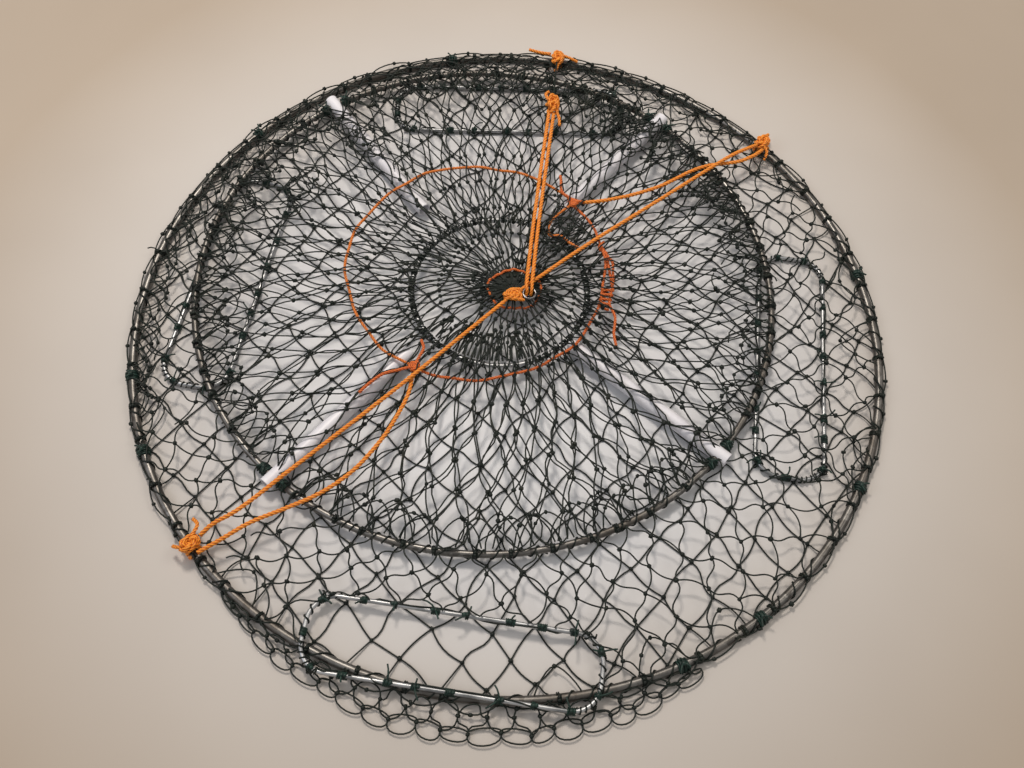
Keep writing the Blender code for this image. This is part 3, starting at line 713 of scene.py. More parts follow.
# the net in front, drawn in to the throat; its bars pass over and under the drawcord
DRAWCORD_CENTRE, DRAWCORD_RADIUS = Vector((-0.040, 0.071, 0)), 0.160
top_radii = radii_of_rows(TOP_RADIUS, 0.031)
rows = row_net(top_radii, TOP_CENTRE, THROAT, 0.0,
    lambda share: 0.0192 + 0.0060 * min(share * 7, 1), 23, 0.008)
lines, marks = [], []
for row, a, b in bars_of(rows):
    spare = 1.022 if row else 1.22
    line = bar_between(a, b, 7, (b - a).length * random.uniform(1.0, spare), lift=0.15)
    outward = a - DRAWCORD_CENTRE
    at_right = abs(math.degrees(atan2(outward.y, outward.x)) - 5) < 45
    over = random.random() < (0.80 if at_right else 0.85 if outward.y < -0.08 else 0.70)
    for point in line:
        away = abs((point.xy - DRAWCORD_CENTRE.xy).length - DRAWCORD_RADIUS)
        point.z += exp(-(away / 0.008) ** 2) * (0.0068 if over else -0.0008)
        if at_right and over and away > 0.004:
            beyond = (point.xy - DRAWCORD_CENTRE.xy).length - DRAWCORD_RADIUS - 0.004
            point.z = max(point.z, 0.0252 + 0.0066 * exp(-(max(abs(beyond) - 0.006, 0) / 0.006) ** 2))
    lines.append(line)
    if row:
        marks.append(a)
for column in range(2 * MESHES):
    angle = tau * (column + random.uniform(-0.3, 0.3)) / (2 * MESHES)
    at_bottom = facing(angle, 268) > 0.60
    if random.random() < (0.80 if at_bottom else 0.30):
        continue
    lines.append([THROAT + toward(angle + 0.05 * sin(3 * t)) * (0.033 - 0.024 * t)
        + upward(0.0252 + 0.0052 * sin(t * 2.4) + random.uniform(-0.0006, 0.0006))
        for t in (0, 0.25, 0.5, 0.75, 1.0)])
top_netting = net_piece("top_netting", lines, marks, 9)
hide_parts("top_net")
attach(top_netting, "top_frame")

# the slanting side, folded slack between the hoops, in gores
GORES = 27


def top_hoop_reach(angle):
    """How far the top hoop lies from the base hoop's centre in one direction."""
    out = toward(angle)
    return TOP_CENTRE.dot(out) + sqrt(TOP_RADIUS ** 2 - TOP_CENTRE.cross(out).length_squared)


def side_knot(rows, row, column):
    """A knot of the slanting side, at its row from the top hoop out to the base hoop."""
    angle = tau * (column + 0.5 * (row % 2)) / MESHES
    inner, outer = top_hoop_reach(angle) + 0.003, BASE_RADIUS - 0.001
    share = row / rows
    even = toward(angle) * (inner + (outer - inner) * share)
    if not 0 < row < rows:
        return even + upward(0.0108 if row else 0.0178)
    free = min(1, (outer - inner) / 0.1)
    even += (drift(even, 0.05, 0.010, 41) + drift(even, 0.013, 0.008, 47)) * free
    reach = min(max(even.length, inner + 0.004), outer - 0.004)
    return even * (reach / even.length) + upward(0.0220 - 0.0080 * share + 0.004 * noise(even * 90))


def across_loop(point, loop):
    """Where a point lies in an entry loop's own directions: across it and along it."""
    angle, radius, _ = loop
    return Matrix.Rotation(-angle, 3, "Z") @ (Vector((point.x, point.y, 0)) - toward(angle) * radius)


def in_loop(point, margin):
    """Whether a point lies inside the third entry loop, whose funnel is pulled clear."""
    away = across_loop(point, LOOPS[2])
    return abs(away.x) < LOOP_WIDTH / 2 + margin and abs(away.y) < LOOP_LENGTH / 2 + margin


def tied_to_loop(point):
    """A point, or the place on the third entry loop's wire to which it is tied if it lies inside."""
    angle, radius, z = LOOPS[2]
    away = across_loop(point, LOOPS[2])
    if abs(away.x) >= LOOP_WIDTH / 2 or abs(away.y) >= LOOP_LENGTH / 2:
        return point
    if LOOP_LENGTH / 2 - abs(away.y) < LOOP_WIDTH / 2 - abs(away.x):
        away.y = math.copysign(LOOP_LENGTH / 2 - 0.002, away.y)
    else:
        away.x = math.copysign(LOOP_WIDTH / 2, away.x)
    spot = toward(angle) * radius + Matrix.Rotation(angle, 3, "Z") @ away
    return Vector((spot.x, spot.y, max(point.z, z + 0.0040)))


for number in range(1, GORES + 1):
    middle = tau * (number - 0.5) / GORES
    inner = top_hoop_reach(middle)
    width = BASE_RADIUS - inner
    rows = min(6, max(3, round(width / 0.022)))
    lines, marks = [], []
    for row in range(rows):
        for column in range((number - 1) * MESHES // GORES, number * MESHES // GORES):
            for other in (column - 1 + row % 2, column + row % 2):
                a, b = side_knot(rows, row, column), side_knot(rows, row + 1, other)
                if in_loop(a.lerp(b, 0.5), -0.006) and in_loop(a, 0.003) and in_loop(b, 0.003):
                    continue
                a, b = tied_to_loop(a), tied_to_loop(b)
                length = (b - a).length * random.uniform(1.02, 1.02 + 0.085 * min(1, width / 0.09))
                lines.append(bar_between(a, b, 9, length, 0.5, (-1) ** (row + (other < column)), 0.6))
                if row:
                    marks.append(a)
    # where the hoops near each other the open trap draws this net out, so its knots are small
    gore = net_piece(f"side_netting_{number}", lines, marks, 60 + number, knot=KNOT if rows > 3 else 0.0024)
    if number == 1:
        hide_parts("side_net")
    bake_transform(gore)


# the feet of the prop tubes stand here when the trap is open
FEET_RADIUS = 0.4365
PROP_FEET = [toward(angle) * FEET_RADIUS for angle in PROP_ANGLES]


def clear_of_movers(arc):
    """Whether a line stays off the entry loops on the ground side and off the places of the feet."""
    for point in arc:
        for loop in LOOPS[:2] + LOOPS[3:]:
            away = across_loop(point, loop)
            if abs(away.x) < LOOP_WIDTH / 2 + 0.005 and abs(away.y) < LOOP_LENGTH / 2 + 0.005:
                return False
        if any((point.xy - foot.xy).length < 0.0105 for foot in PROP_FEET):
            return False
    return True


def slack_loops(name, hoop, body, heights, phases, chance, seed):
    """Slack meshes that lie in overlapping loops on the inside of a hoop."""
    centre, radius = hoop[:2]
    lines, marks = [], []
    for column in range(MESHES):
        for number, (phase, reach) in enumerate(phases):
            even = number < 2
            start = tau * (column + phase + random.uniform(-0.12, 0.12) * (0.5 if even else 1)) / MESHES
            width = (random.uniform(1.0, 1.3) if even else random.uniform(0.85, 1.25)) * tau / MESHES
            depth = reach * (random.uniform(0.85, 1.12) if even else random.uniform(0.7, 1.25))
            keep = random.random() <= chance(start, depth)
            for shrink in (1.0, 0.6, 0.35):
                arc = []
                for t in shares(10):
                    bulge = sin(pi * t) ** (0.75 if even else 1.0)
                    ahead_by = 0.5 - cos(pi * t) * 0.5 + 0.10 * sin(tau * t)
                    arc.append(on_ring(centre, start + width * ahead_by,
                        radius - 0.004 - depth * shrink * bulge,
                        heights[0] + (heights[1] - heights[0]) * min(1, 2.2 * bulge)))
                if body != "base_frame" or clear_of_movers(arc):
                    break
            else:
                keep = False
            if not keep:
                continue
            lines.append(arc)
            marks.append(arc[5])
            if random.random() < 0.4:
                marks.append(arc[2])
    slack = net_piece(name, lines, marks, seed)
    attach(slack, body)


# slack on the top hoop hangs in even loops, and in bunches on the right; on the neck ring it hangs
# in narrow loops at the bottom, and on the base hoop where the hoops near each other
slack_loops("top_hoop_slack", TOP_HOOP, "top_frame", (0.0195, 0.0257),
    ((0.0, 0.034), (0.5, 0.031), (0.25, 0.055), (0.8, 0.072), (0.1, 0.045), (0.6, 0.050)),
    lambda at, depth: 0.93 if depth < 0.0385 else 0.6 * max(facing(at, 52), 0) ** 3, 71)
slack_loops("neck_ring_slack", NECK_RING, "top_frame", (0.0235, 0.0275),
    ((0.0, 0.036), (0.5, 0.031), (0.3, 0.022)), lambda at, depth: 0.75 if facing(at, 256) > 0.70
    else 0.35 if facing(at, 95) > 0.5 and depth < 0.03 else 0, 75)
slack_loops("base_hoop_slack", BASE_HOOP, "base_frame", (0.0100, 0.0085),
    ((0.0, 0.018), (0.5, 0.026), (0.25, 0.012), (0.7, 0.034)),
    lambda at, depth: 0.95 if BASE_RADIUS - top_hoop_reach(at) < 0.085 else 0.12, 73)


def curls(lines, marks, count, middle, spread, wide, turn_by=0.0, low=0.0258):
    """Twine that has sprung back on itself: part turns of uneven width about one place."""
    for _ in range(count):
        aside = Vector((spread[0] * random.gauss(0, 0.5), spread[1] * random.gauss(0, 0.5), 0))
        place = Vector(middle) + Matrix.Rotation(turn_by, 3, "Z") @ aside
        width, turn = random.uniform(*wide), random.uniform(0, tau)
        # the end of a tube swings up here
        if any((place - TOP_CENTRE - toward(prop) * TOP_RADIUS).length < width + 0.017
                for prop in PROP_ANGLES):
            continue
        round_by = random.uniform(2.2, 6.1)
        rise = random.random()
        lines.append([place + toward(turn + round_by * k / 11) * width * (1 + 0.25 * sin(3 * k / 11 + turn))
            + upward(low + 0.0030 * rise * sin(pi * k / 11)) for k in range(12)])
        marks.append(lines[-1][random.choice((0, 4, 7))])


# right of the throat the front net is caught up in a dark tangle beside the drawcord, and under the
# upper right of the top hoop its slack lies bunched
lines, marks = [], []
curls(lines, marks, 20, (0.064, 0.122, 0), (0.046, 0.034), (0.007, 0.016), 0.7, 0.0262)
curls(lines, marks, 20, (0.170, 0.292, 0), (0.095, 0.036), (0.009, 0.022), -0.45)
curls(lines, marks, 6, (0.268, 0.180, 0), (0.040, 0.030), (0.012, 0.022), -0.9)
curls(lines, marks, 8, (0.080, 0.335, 0), (0.050, 0.020), (0.010, 0.022))
curls(lines, marks, 9, (-0.275, 0.190, 0), (0.040, 0.040), (0.012, 0.024))
curls(lines, marks, 12, (-0.185, 0.275, 0), (0.075, 0.022), (0.010, 0.022), -0.95)
for about, count in ((0, 10), (185, 9)):
    for _ in range(count):
        at = radians(about + random.uniform(-27, 27))
        curls(lines, marks, 1, TOP_CENTRE + toward(at) * random.uniform(0.298, 0.338), (0, 0), (0.015, 0.026))
for strand in range(12):
    start = Vector((0.038 + 0.060 * random.random(), 0.096 + 0.044 * random.random(), 0.0262))
    out = toward(radians(random.uniform(15, 60)))
    lines.append([start + out * (0.045 * t - 0.0225) + upward(0.0016 * sin(pi * t))
        + out.cross(UP) * 0.004 * sin(5 * t + strand) for t in shares(8)])
caught = net_piece("front_net_tangle", lines, marks, 77)
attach(caught, "top_frame")


# --- Lacing and whippings --------------------------------------------------------------------
# Each mesh is hitched to its hoop by twine that winds along the rod from knot to knot. Thicker
# dark green twine whips the ends of the lacing, and holds each prop tube's place on the top hoop.

# braided green twine: darker and bluer than the net, slightly waxed; its braid of 0.5 mm is drawn at
# 0.8 mm
whipping_twine = cloudy_material("whipping_twine", 220.0, ((0.30, "#081D18"), (0.70, "#11352C")), 0.5, {},
    grit=1250.0)


def around_rod(hoop, start, stop, turns, twine, per_turn=10, first=0.0):
    """A line that winds round a stretch of a hoop."""
    centre, radius, z, rod = hoop
    reach = (rod + twine) / 2 + 0.0001
    steps = max(4, round(turns * per_turn))
    points = []
    for share in shares(steps):
        wound = first + tau * turns * share
        points.append(on_ring(centre, start + (stop - start) * share, radius + reach * cos(wound),
            max(twine / 2 + 0.0002, z + reach * sin(wound))))
    return points


def loose_end(start, out, length, side):
    """A short cut end of twine that springs away from its knot."""
    across = out.cross(UP)
    return [start + out * length * t + across * side * length * t * t + upward(0.35 * length * sin(2.4 * t))
        for t in (0, 0.35, 0.7, 1.0)]


def hitches(name, hoop, body, turns_between, seed, tail_share, knot=0.0062, twine=TWINE,
        bare=lambda at: False):
    """The lacing of one hoop: a hitch at each mesh and a line wound between them."""
    centre, radius, z, rod = hoop
    lines, marks = [], []
    gap = tau / MESHES
    for column in range(MESHES):
        at = gap * column + random.uniform(-0.02, 0.02)
        if bare(at + gap / 2):
            continue
        turns = random.choice((2, 2, 3))
        half = turns * twine * 0.55 / radius
        lines.append(around_rod(hoop, at - half, at + half, turns, twine, 9, random.uniform(0, tau)))
        lines.append(around_rod(hoop, at + half, at + gap - half, random.choice(turns_between(at)), twine,
            12, random.uniform(-0.5, 0.5)))
        spot = on_ring(centre, at, radius, z + rod / 2 + 0.0016)
        marks += [spot, spot + toward(at) * 0.003 + upward(-0.001)]
        if random.random() < tail_share:
            lines.append(loose_end(spot, toward(at + random.uniform(-1.4, 1.4)), 0.012,
                random.choice((-0.4, 0.5))))
    laced = net_piece(name, lines, marks, seed, twine, knot)
    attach(laced, body)


hitches("base_hoop_lacing", BASE_HOOP, "base_frame", lambda at: (1, 1, 2), 81, 0.05)
hitches("top_hoop_lacing", TOP_HOOP, "top_frame",
    lambda at: (1, 2, 2) if facing(at, 285) > 0.8 else (2, 3, 4), 83, 0.12,
    bare=lambda at: any(abs(math.remainder(at - prop, tau)) < pi / MESHES + 0.034 for prop in PROP_ANGLES))
hitches("neck_ring_lacing", NECK_RING, "top_frame",
    lambda at: (1, 1) if facing(at, 275) > 0.7 else (1, 1, 2), 89, 0.1, 0.0042, 0.0014,
    bare=lambda at: facing(at, 272) > 0.955)

# a whipping's length, its twine, the room that a turn takes on the rod, and its knots; and how far
# round the top hoop from a tube the whippings lie that hold its place
WHIPPED, WHIPPING, WHIPPING_TURN, WHIPPING_KNOT = 0.012, 0.0021, 0.0023, 0.0070
BESIDE_TUBE = radians(2.469)


def whippings(name, hoop, body, angles, nodes, seed):
    """Tight turns of the thicker twine round a hoop, with two turns over them and two cut ends."""
    centre, radius, z, rod = hoop
    outer_turns = centre, radius, z, rod + 0.003
    lines, marks = [], []
    for at in angles:
        half, third, quarter = (WHIPPED / part / radius for part in (2, 3, 4))
        lines.append(around_rod(hoop, at - half, at + half, round(WHIPPED / WHIPPING), WHIPPING_TURN))
        lines.append(around_rod(outer_turns, at - third, at + quarter, 2, WHIPPING))
        spot = on_ring(centre, at, radius, z + rod / 2 + 0.0030)
        marks.append(spot)
        for side in (-0.7, 0.6):
            lines.append(loose_end(spot, toward(at + side * 2), random.uniform(0.005, 0.010), side))
    wound = net_piece(name, lines, marks, seed, WHIPPING, WHIPPING_KNOT, whipping_twine)
    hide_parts(*nodes)
    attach(wound, body)


whippings("base_hoop_whippings", BASE_HOOP, "base_frame",
    [mid_mesh(number) for number in (4, 7, 11, 12, 19, 20, 22, 25)],
    [f"base_lashing_{k}" for k in range(1, 9)], 85)
whippings("prop_whippings", TOP_HOOP, "top_frame",
    [angle + side * BESIDE_TUBE for angle in PROP_ANGLES for side in (-1, 1)],
    [f"prop_lashing_{k}{side}" for k in range(1, 5) for side in "ab"], 87)

# the net's edge outside the base hoop: short loops all round, and two rows that hang at the bottom
lines, marks = [], []
EDGE_LOOPS = 54
uneven = [(random.uniform(-0.09, 0.09), random.uniform(-0.12, 0.10)) for _ in range(2 * EDGE_LOOPS)]


def hang(angle):
    """How far the net's edge hangs outside the hoop."""
    from_bottom = abs((angle - radians(262) + pi) % tau - pi)
    from_top = abs((angle - radians(104) + pi) % tau - pi)
    return 0.0062 + 0.0040 * max(0, 1 - (from_top / 0.75) ** 2) \
        + 0.0340 * max(0, 1 - (from_bottom / 0.62) ** 2)


def edge_knot(place, share):
    """A point of the net's edge, at a share of how far it hangs there."""
    shift, drop = uneven[round(2 * place) % (2 * EDGE_LOOPS)]
    share = share + drop * share
    angle = tau * (place + shift * share) / EDGE_LOOPS
    reach = BASE_RADIUS + 0.0055 + (hang(angle) - 0.0055) * share
    return on_ring(ORIGIN, angle, reach, 0.0085 - 0.0055 * share)


for loop in range(EDGE_LOOPS):
    hangs = hang(tau * (loop + 0.5) / EDGE_LOOPS)
    if hangs > 0.011:
        for half in (0, 0.5):
            place = loop + half
            low, mid = edge_knot(place, 0.80), edge_knot(place + 0.25, 0.36)
            marks += [low, mid]
            for a, b, bow in ((mid, low, -1), (mid, edge_knot(place + 0.5, 0.80), 1),
                    (edge_knot(place, 0), mid, -1), (edge_knot(place + 0.5, 0), mid, 1)):
                lines.append(bar_between(a, b, 6, (b - a).length * random.uniform(1.05, 1.22), 0, bow))
            far = edge_knot(place + 0.5, 0.80)
            out = toward(tau * (place + 0.25) / EDGE_LOOPS)
            for bulge in (0.0105, -0.0060):
                bulge *= random.uniform(0.75, 1.3) * min(1, hangs / 0.03)
                lines.append([low.lerp(far, 0.5 - 0.5 * cos(pi * t) - 0.06 * sin(tau * t))
                    + out * bulge * sin(pi * t) for t in shares(10)])
    width = tau / EDGE_LOOPS
    start = width * (loop - 0.1)
    deep = min(hangs, 0.011) * random.uniform(0.55, 1.3)
    lines.append([toward(start + width * 1.1 * t) * (BASE_RADIUS + 0.002 + deep * sin(pi * t) ** 0.8)
        + upward(0.0108 - 0.0045 * sin(pi * t)) for t in shares(8)])
    marks.append(lines[-1][4 if loop % 2 else 3])
edge_netting = net_piece("edge_netting", lines, marks, 91)
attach(edge_netting, "base_frame")

# knots that tie the net to the entry loops, each of a few turns with two cut ends, and the twine that
# winds along the wire between them
TIES, TIE_TWINE, TIE_KNOT, WINDING_PITCH, WINDING_REACH = 19, 0.0019, 0.0062, 0.0115, 0.0034
for number, (angle, radius, z) in enumerate(LOOPS, 1):
    outline = loop_outline(angle, radius, z)
    total = route_length(outline + outline[:1])
    lines, marks = [], []
    around = smooth_route(outline + outline[:1], 0.0012)
    spiral, wound_to = [], 0.0
    for a, b in zip(around, around[1:]):
        ahead = (b - a).normalized()
        out = ahead.cross(UP)
        # on the outer side of the loops the twine is wound more closely
        close = 2.6 if number == 1 else 1.9 if a.xy.length > radius + 0.03 else 1.0
        wound_to += tau * (b - a).length / WINDING_PITCH * close
        spiral.append(a + out * WINDING_REACH * cos(wound_to)
            + upward(max(WINDING_REACH * sin(wound_to), 0.0012 - a.z)))
    for tie in range(TIES):
        target, walked = total * (tie + random.uniform(-0.2, 0.2)) / TIES, 0.0
        for a, b in zip(outline, outline[1:] + outline[:1]):
            if walked + (b - a).length >= target and (b - a).length > 0:
                break
            walked += (b - a).length
        ahead = (b - a).normalized()
        out = ahead.cross(UP)
        spot = a.lerp(b, min(1.0, max(0.0, (target - walked) / (b - a).length)))
        turns = random.choice((2, 3, 4, 5))
        reach = (LOOP_WIRE + 0.0020) / 2
        wound = []
        for step in range(turns * 8 + 1):
            turn = tau * step / 8
            wound.append(spot + ahead * TIE_TWINE * (step / 8 - turns / 2) + out * reach * cos(turn)
                + upward(reach * sin(turn)))
        lines.append(wound)
        top = spot + upward(LOOP_WIRE / 2 + 0.0014)
        marks += [top, top + ahead * 0.003]
        for side in (-1, 1):
            if random.random() < 0.7:
                lines.append(loose_end(top, (out * side + ahead * random.uniform(-1, 1)).normalized(),
                    random.uniform(0.007, 0.016), random.uniform(-0.5, 0.5)))
    ties = net_piece(f"entry_ties_{number}", lines, marks, 93 + number, TIE_TWINE, TIE_KNOT, whipping_twine)
    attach(ties, f"entry_{number}_body")
    winding = net_piece(f"entry_winding_{number}", [spiral], [], 73 + number)
    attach(winding, f"entry_{number}_body")


# --- Rope knots and drawcords ----------------------------------------------------------------
# The same orange rope is knotted round the base hoop, gathered at the pull ring, and rove through
# the meshes as two drawcords: a wide one in the front net, and one that closes the throat.

# height of the knots on the base hoop
HOOP_KNOT_Z = 0.01985


def tangle(centre, radii, turn, lobes=3, passes=2):
    """A closed route that goes round and through itself as a pulled-up knot does."""
    rx, ry, rz = (max(r - ROPE / 2, 0.0012) for r in radii)
    points, steps = [], 48
    for step in range(steps):
        t = tau * passes * step / steps
        wide = 0.66 + 0.34 * cos(lobes * t / passes)
        local = Vector((rx * wide * cos(t), ry * wide * sin(t), rz * sin(lobes * t / passes)))
        points.append(centre + Matrix.Rotation(turn, 3, "Z") @ local)
    return points


def rope_knot(name, body, nodes, closed_routes, open_routes, diameter, finish=laid_rope):
    """Knotted rope, thinner as it is pulled tight: closed tangles, and their turns and cut ends."""
    piece = lay_rope(name, open_routes, closed_routes, diameter, finish)
    keep_above(piece, 0.0003)
    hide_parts(*nodes)
    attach(piece, body)


def hoop_turns(degrees, turns=3, rope=0.0044):
    """Turns of rope round the base hoop, under a knot."""
    half, at = turns * rope * 0.55 / BASE_RADIUS, radians(degrees)
    return around_rod(BASE_HOOP, at - half, at + half, turns, rope, 14)


def short_tail(points, start=ORIGIN):
    """A short end of rope through points that are given from its start."""
    return smooth_route([start + Vector(point) for point in points], 0.004)


# where each knot sits on the base hoop, and its two short ends
for side, degrees, *tails in (
        ("left", 218.4, ((-0.350, -0.279, 0.0215), (-0.362, -0.283, 0.0200), (-0.371, -0.279, 0.0120)),
        ((-0.350, -0.272, 0.0230), (-0.345, -0.259, 0.0225), (-0.352, -0.250, 0.0160))),
        ("right", 38.2, ((0.353, 0.283, 0.0215), (0.362, 0.291, 0.0180), (0.366, 0.298, 0.0110)),
        ((0.351, 0.272, 0.0215), (0.357, 0.262, 0.0180), (0.353, 0.252, 0.0120))),
        ("top", 79.2, ((0.0850, 0.4430, 0.0200), (0.0990, 0.4400, 0.0165), (0.1120, 0.4350, 0.0130)),
        ((0.0850, 0.4400, 0.0190), (0.0830, 0.4240, 0.0170), (0.0790, 0.4150, 0.0150)))):
    turn = radians(degrees)
    at = on_ring(ORIGIN, turn, BASE_RADIUS - (0.006 if side == "top" else 0.001), HOOP_KNOT_Z)
    rope_knot(f"rope_knot_{side}", "base_frame", [f"bridle_knot_{side}", f"bridle_wrap_{side}"],
        [tangle(at, (0.0138, 0.0104, 0.0068), turn, 5, 3),
        tangle(at, (0.0128, 0.0092, 0.0065), turn + 0.25)],
        [hoop_turns(degrees)] + [short_tail(points) for points in tails], 0.0046)

centre_knot = Vector((0.003, 0.024, 0.0358))
# the last two short ends are the doubled leg's bights, which go down through the pull ring
rope_knot("rope_knot_centre", "top_frame", ["bridle_centre_knot"],
    [tangle(centre_knot, (0.0142, 0.0088, 0.0056), 0.35, 5, 3),
    tangle(centre_knot + Vector((0.002, -0.001, 0)), (0.0122, 0.0098, 0.0050), 2.6, 4, 3)],
    [short_tail(points) for points in (
    ((-0.0150, 0.0076, LEG_Z), (-0.0080, 0.0135, LEG_Z), (-0.0020, 0.0190, 0.0350), (0.0030, 0.0240, 0.0362)),
    ((0.0220, 0.0362, LEG_Z), (0.0140, 0.0310, LEG_Z), (0.0080, 0.0270, 0.0352), (0.0030, 0.0230, 0.0362)),
    ((0.0040, 0.0190, 0.0372), (0.0105, 0.0150, 0.0366), (0.0165, 0.0160, 0.0340)),
    ((0.0203, 0.0360, 0.0396), (0.0200, 0.0318, 0.0404), (0.0206, 0.0278, 0.0392), (0.0205, 0.0255, 0.0352),
    (0.0190, 0.0230, 0.0325)),
    ((0.0269, 0.0360, 0.0396), (0.0268, 0.0310, 0.0404), (0.0262, 0.0270, 0.0392), (0.0256, 0.0250, 0.0350),
    (0.0250, 0.0240, 0.0325)))], 0.0044)

slide_knot = Vector((0.069, 0.332, LEG_Z))
rope_knot("rope_knot_slide", "top_frame", ["bridle_slide_knot"],
    [tangle(slide_knot + Vector((0, 0.006, 0)), (0.0108, 0.0130, 0.0088), -0.16, 5, 3),
    tangle(slide_knot - Vector((0, 0.004, 0)), (0.0100, 0.0140, 0.0085), -0.16)],
    [short_tail(((0.003, -0.006, -0.001), (0.0075, -0.019, -0.002), (0.0080, -0.033, -0.004)), slide_knot),
    short_tail(((-0.004, 0.008, 0.001), (-0.0085, 0.017, 0.002), (-0.0040, 0.0235, 0.001)), slide_knot)],
    0.0048)

# the wide drawcord, thinner than the bridle, with a doubled and rewound stretch on its right
CORD = 0.0040


def on_drawcord(degrees, out=0.0, lift=0.0):
    """A point on the wide drawcord's circle, or a little outside and above it."""
    return on_ring(DRAWCORD_CENTRE, radians(degrees), DRAWCORD_RADIUS + out, CORD_Z - 0.0020 + lift)


def drawcord_route(start, stop):
    """A stretch of the wide drawcord, which wanders a little from mesh to mesh."""
    count = round((stop - start) / 4)
    points = [on_drawcord(start + (stop - start) * k / count, 0.0010 * sin(k * 1.1) + 0.0014 * sin(k * 0.43),
        0.0005 * sin(k * 1.7)) for k in range(count + 1)]
    return smooth_route(points, 0.005)


# the second strand on the right, and the loop that the cord's end makes inside the circle
doubled = smooth_route([(0.1160, 0.1050, 0.0270), (0.1229, 0.0883, 0.0266), (0.1300, 0.0759, 0.0262),
    (0.1294, 0.0607, 0.0266), (0.1281, 0.0458, 0.0262), (0.1258, 0.0339, 0.0266), (0.1225, 0.0237, 0.0272),
    (0.1209, 0.0120, 0.0268), (0.1262, -0.0032, 0.0262), (0.1250, -0.0173, 0.0262),
    (0.1228, -0.0286, 0.0262), (0.1240, -0.0462, 0.0268)], 0.004)
inside = smooth_route([(0.0869, 0.1684, 0.0275), (0.0740, 0.1582, 0.0262), (0.0625, 0.1475, 0.0262),
    (0.0545, 0.1350, 0.0262), (0.0523, 0.1255, 0.0266), (0.0553, 0.1167, 0.0266), (0.0668, 0.1181, 0.0262),
    (0.0764, 0.1086, 0.0258), (0.0895, 0.0976, 0.0262)], 0.004)
rewound = []
for step in range(5 * 16 + 1):
    turn = tau * step / 16
    degrees = 12.5 - 5.5 * step / 16 if step < 16 else -13 - 9.5 * (step - 16) / (4 * 16)
    wide = 0.0040 if step < 16 else 0.0066
    middle = 0.0010 if step < 16 else 0.0050
    rewound.append(on_drawcord(degrees, middle + wide * cos(turn), 0.0002 + 0.0026 * sin(turn)))
for side, routes, finish in (("upper", [drawcord_route(37.5, 242), inside], dull_rope),
        ("lower", [drawcord_route(-118, 37.5), doubled, rewound[:17], rewound[17:]], worn_rope)):
    cord = lay_rope(f"drawcord_{side}", routes, diameter=CORD, finish=finish)
    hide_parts(f"net_drawcord_{side}")
    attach(cord, "top_frame")

# the wide drawcord's two knots: where they sit, how their tangles are turned, and their cut ends
for name, node, degrees, turned, *tails in (
        ("drawcord_knot_lower_left", "drawcord_knot_left", -118, (0.6, 2.0),
        ((0, 0, 0), (-0.016, -0.005, 0.001), (-0.036, -0.010, 0), (-0.052, -0.022, -0.001),
        (-0.063, -0.033, -0.002)),
        ((0, 0, 0), (0.006, 0.012, 0.001), (0.011, 0.024, 0), (0.008, 0.036, -0.001))),
        ("drawcord_knot_upper_right", "drawcord_knot_right", 37.5, (0.2, 1.4),
        ((0, 0, 0), (-0.0036, 0.0073, 0.001), (-0.0122, 0.0156, 0), (-0.0145, 0.0255, 0),
        (-0.0136, 0.0355, 0), (-0.0140, 0.0456, -0.001)),
        ((0, 0, 0), (0.0070, 0.0020, 0.001), (0.0131, 0.0006, 0)))):
    spot = on_drawcord(degrees, 0, 0.0020)
    rope_knot(name, "top_frame", [node], [tangle(spot, (0.0092, 0.0076, 0.0036), turned[0]),
        tangle(spot, (0.0085, 0.0070, 0.0027), turned[1])],
        [short_tail(points, spot) for points in tails], 0.0042, worn_rope)

# the throat's own drawcord, over which the front net's last bars are drawn down
throat_route = [THROAT + Vector((0.002 + 0.0325 * cos(turn), 0.0262 * sin(turn), 0))
    + toward(turn) * 0.0012 * sin(5 * turn)
    + upward(0.0272 + 0.0036 * cos(turn - 2.1) + 0.0012 * sin(17 * turn))
    for turn in [tau * k / 120 for k in range(120)]]
throat_cord = lay_rope("throat_cord", [], [throat_route], 0.0036, worn_rope)
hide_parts("throat_drawcord")
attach(throat_cord, "top_frame")
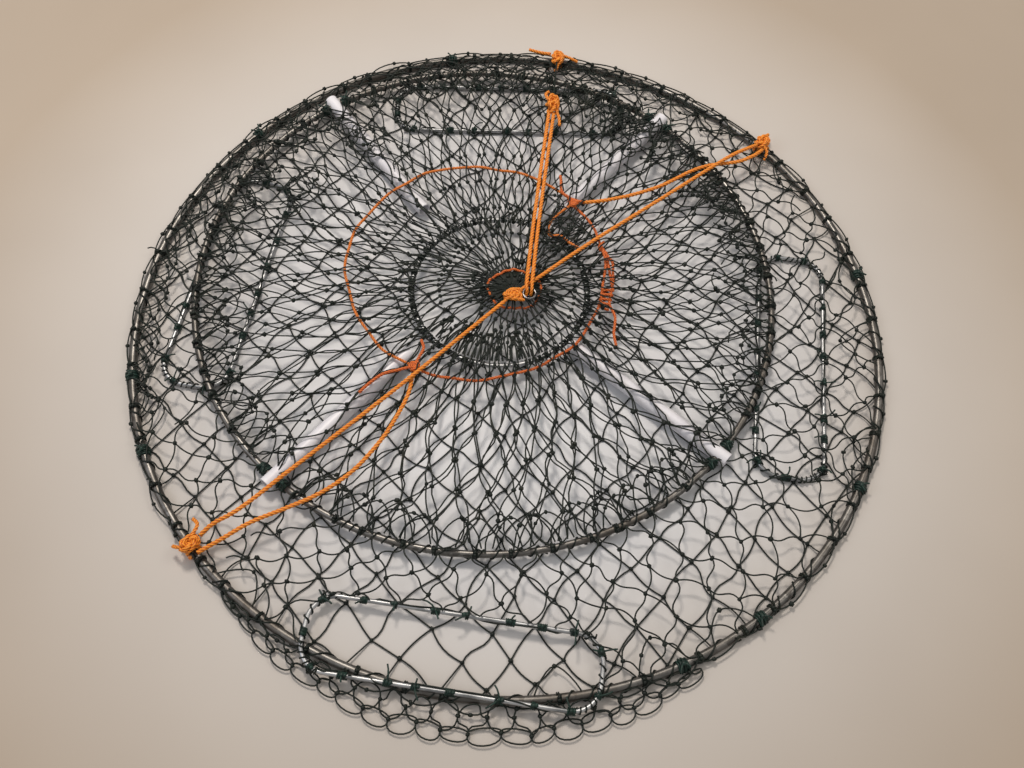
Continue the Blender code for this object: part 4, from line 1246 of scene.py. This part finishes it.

# the throat itself: the net's last meshes, gathered into a tight bunch, packed so densely that its solid dark
# core also stands in for the shade in the throat's hollow
lines, marks = [], []
STRANDS = 110
for strand in range(STRANDS):
    angle = tau * (strand + random.uniform(-0.4, 0.4)) / STRANDS
    sideways = abs(cos(angle))
    reach = 0.016 + 0.010 * sideways + random.uniform(0, 0.010)
    if cos(angle) > 0.80:
        reach += random.uniform(0, 0.030)
    elif cos(angle) < -0.80:
        reach += random.uniform(0, 0.014)
    high = random.uniform(-0.0030, 0.0040)
    swirl = random.uniform(-0.35, 0.35)
    # the bunch lies open at the bottom, where the throat sags
    if facing(angle, 270) > 0.50 and strand % 7:
        continue
    lines.append([THROAT + toward(angle + swirl * t * t) * (reach * (1 - t) + 0.004)
        + upward(0.0235 + high * 0.5 + 0.0066 * sin(min(1, t * 1.9) * pi * 0.62) - 0.0035 * t * t)
        for t in (0, 0.2, 0.4, 0.6, 0.8, 1.0)])
    if strand % 3 == 0:
        marks.append(lines[-1][random.choice((2, 3, 4))])
# part rings of twine packed over the bunch's left: a dark mass that stands in for the painted shade of the
# throat's hollow
for ring in range(9):
    line = []
    for k in range(18):
        turn = tau * (0.97 - 0.52 * (k / 17) + 0.10)
        across = 0.005 + 0.0024 * ring + 0.0016 * noise(Vector((k * 0.8, ring, 0)))
        line.append(THROAT + Vector((-0.009 + 1.15 * cos(turn) * across, 0.003 + 0.66 * sin(turn) * across,
            0.0280 - 0.0008 * ring + 0.0008 * (ring % 2))))
    lines.append(line)
gather = net_piece("throat_bunch", lines, marks, 97)
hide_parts("throat_gather")
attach(gather, "top_frame")


# --- Pull ring and the line to the far hoop --------------------------------------------------
# A small welded steel ring joins the bridle legs. Beyond the slide knot a thin dark line runs on
# to the base hoop, where one long end of the knot is left.

# welded steel ring, nickel plated: grey mirror with dark tarnish
ring_steel = cloudy_material("plated_steel_ring", 300.0, ((0.35, "#4C4B4A"), (0.65, "#8C8C8E")), 0.24,
    {"Metallic": 1.0})
PULL_RING = Vector((0.0234, 0.024, 0)), 0.0075, 0.0358, 0.0032
steel_ring = bend_ring("steel_pull_ring", PULL_RING, -40, ring_steel, 48, 14)
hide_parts("pull_ring")
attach(steel_ring, "pull_ring_body")

THIN_LINE, TAIL_ROPE = 0.0024, 0.0050
line_route = smooth_route(((0.0815, 0.4290, 0.0215), (0.079, 0.410, 0.0260), (0.0745, 0.372, 0.0310),
    (0.0715, 0.3475, 0.0339)), 0.006)
dark_line = net_piece("line_to_far_hoop", [line_route], [], 99, THIN_LINE)
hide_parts("bridle_line_top")
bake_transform(dark_line)

far_knot = Vector((0.0843, 0.4420, HOOP_KNOT_Z))
steps = ((-0.0106, 0.0027, -0.0010), (-0.0243, 0.0085, -0.0039), (-0.0403, 0.0150, -0.0047))
tail_route = smooth_route([far_knot + Vector(step) for step in steps], 0.003)
tail = lay_rope("rope_tail_far", [tail_route], diameter=TAIL_ROPE)
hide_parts("bridle_tail_top")
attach(tail, "base_frame")
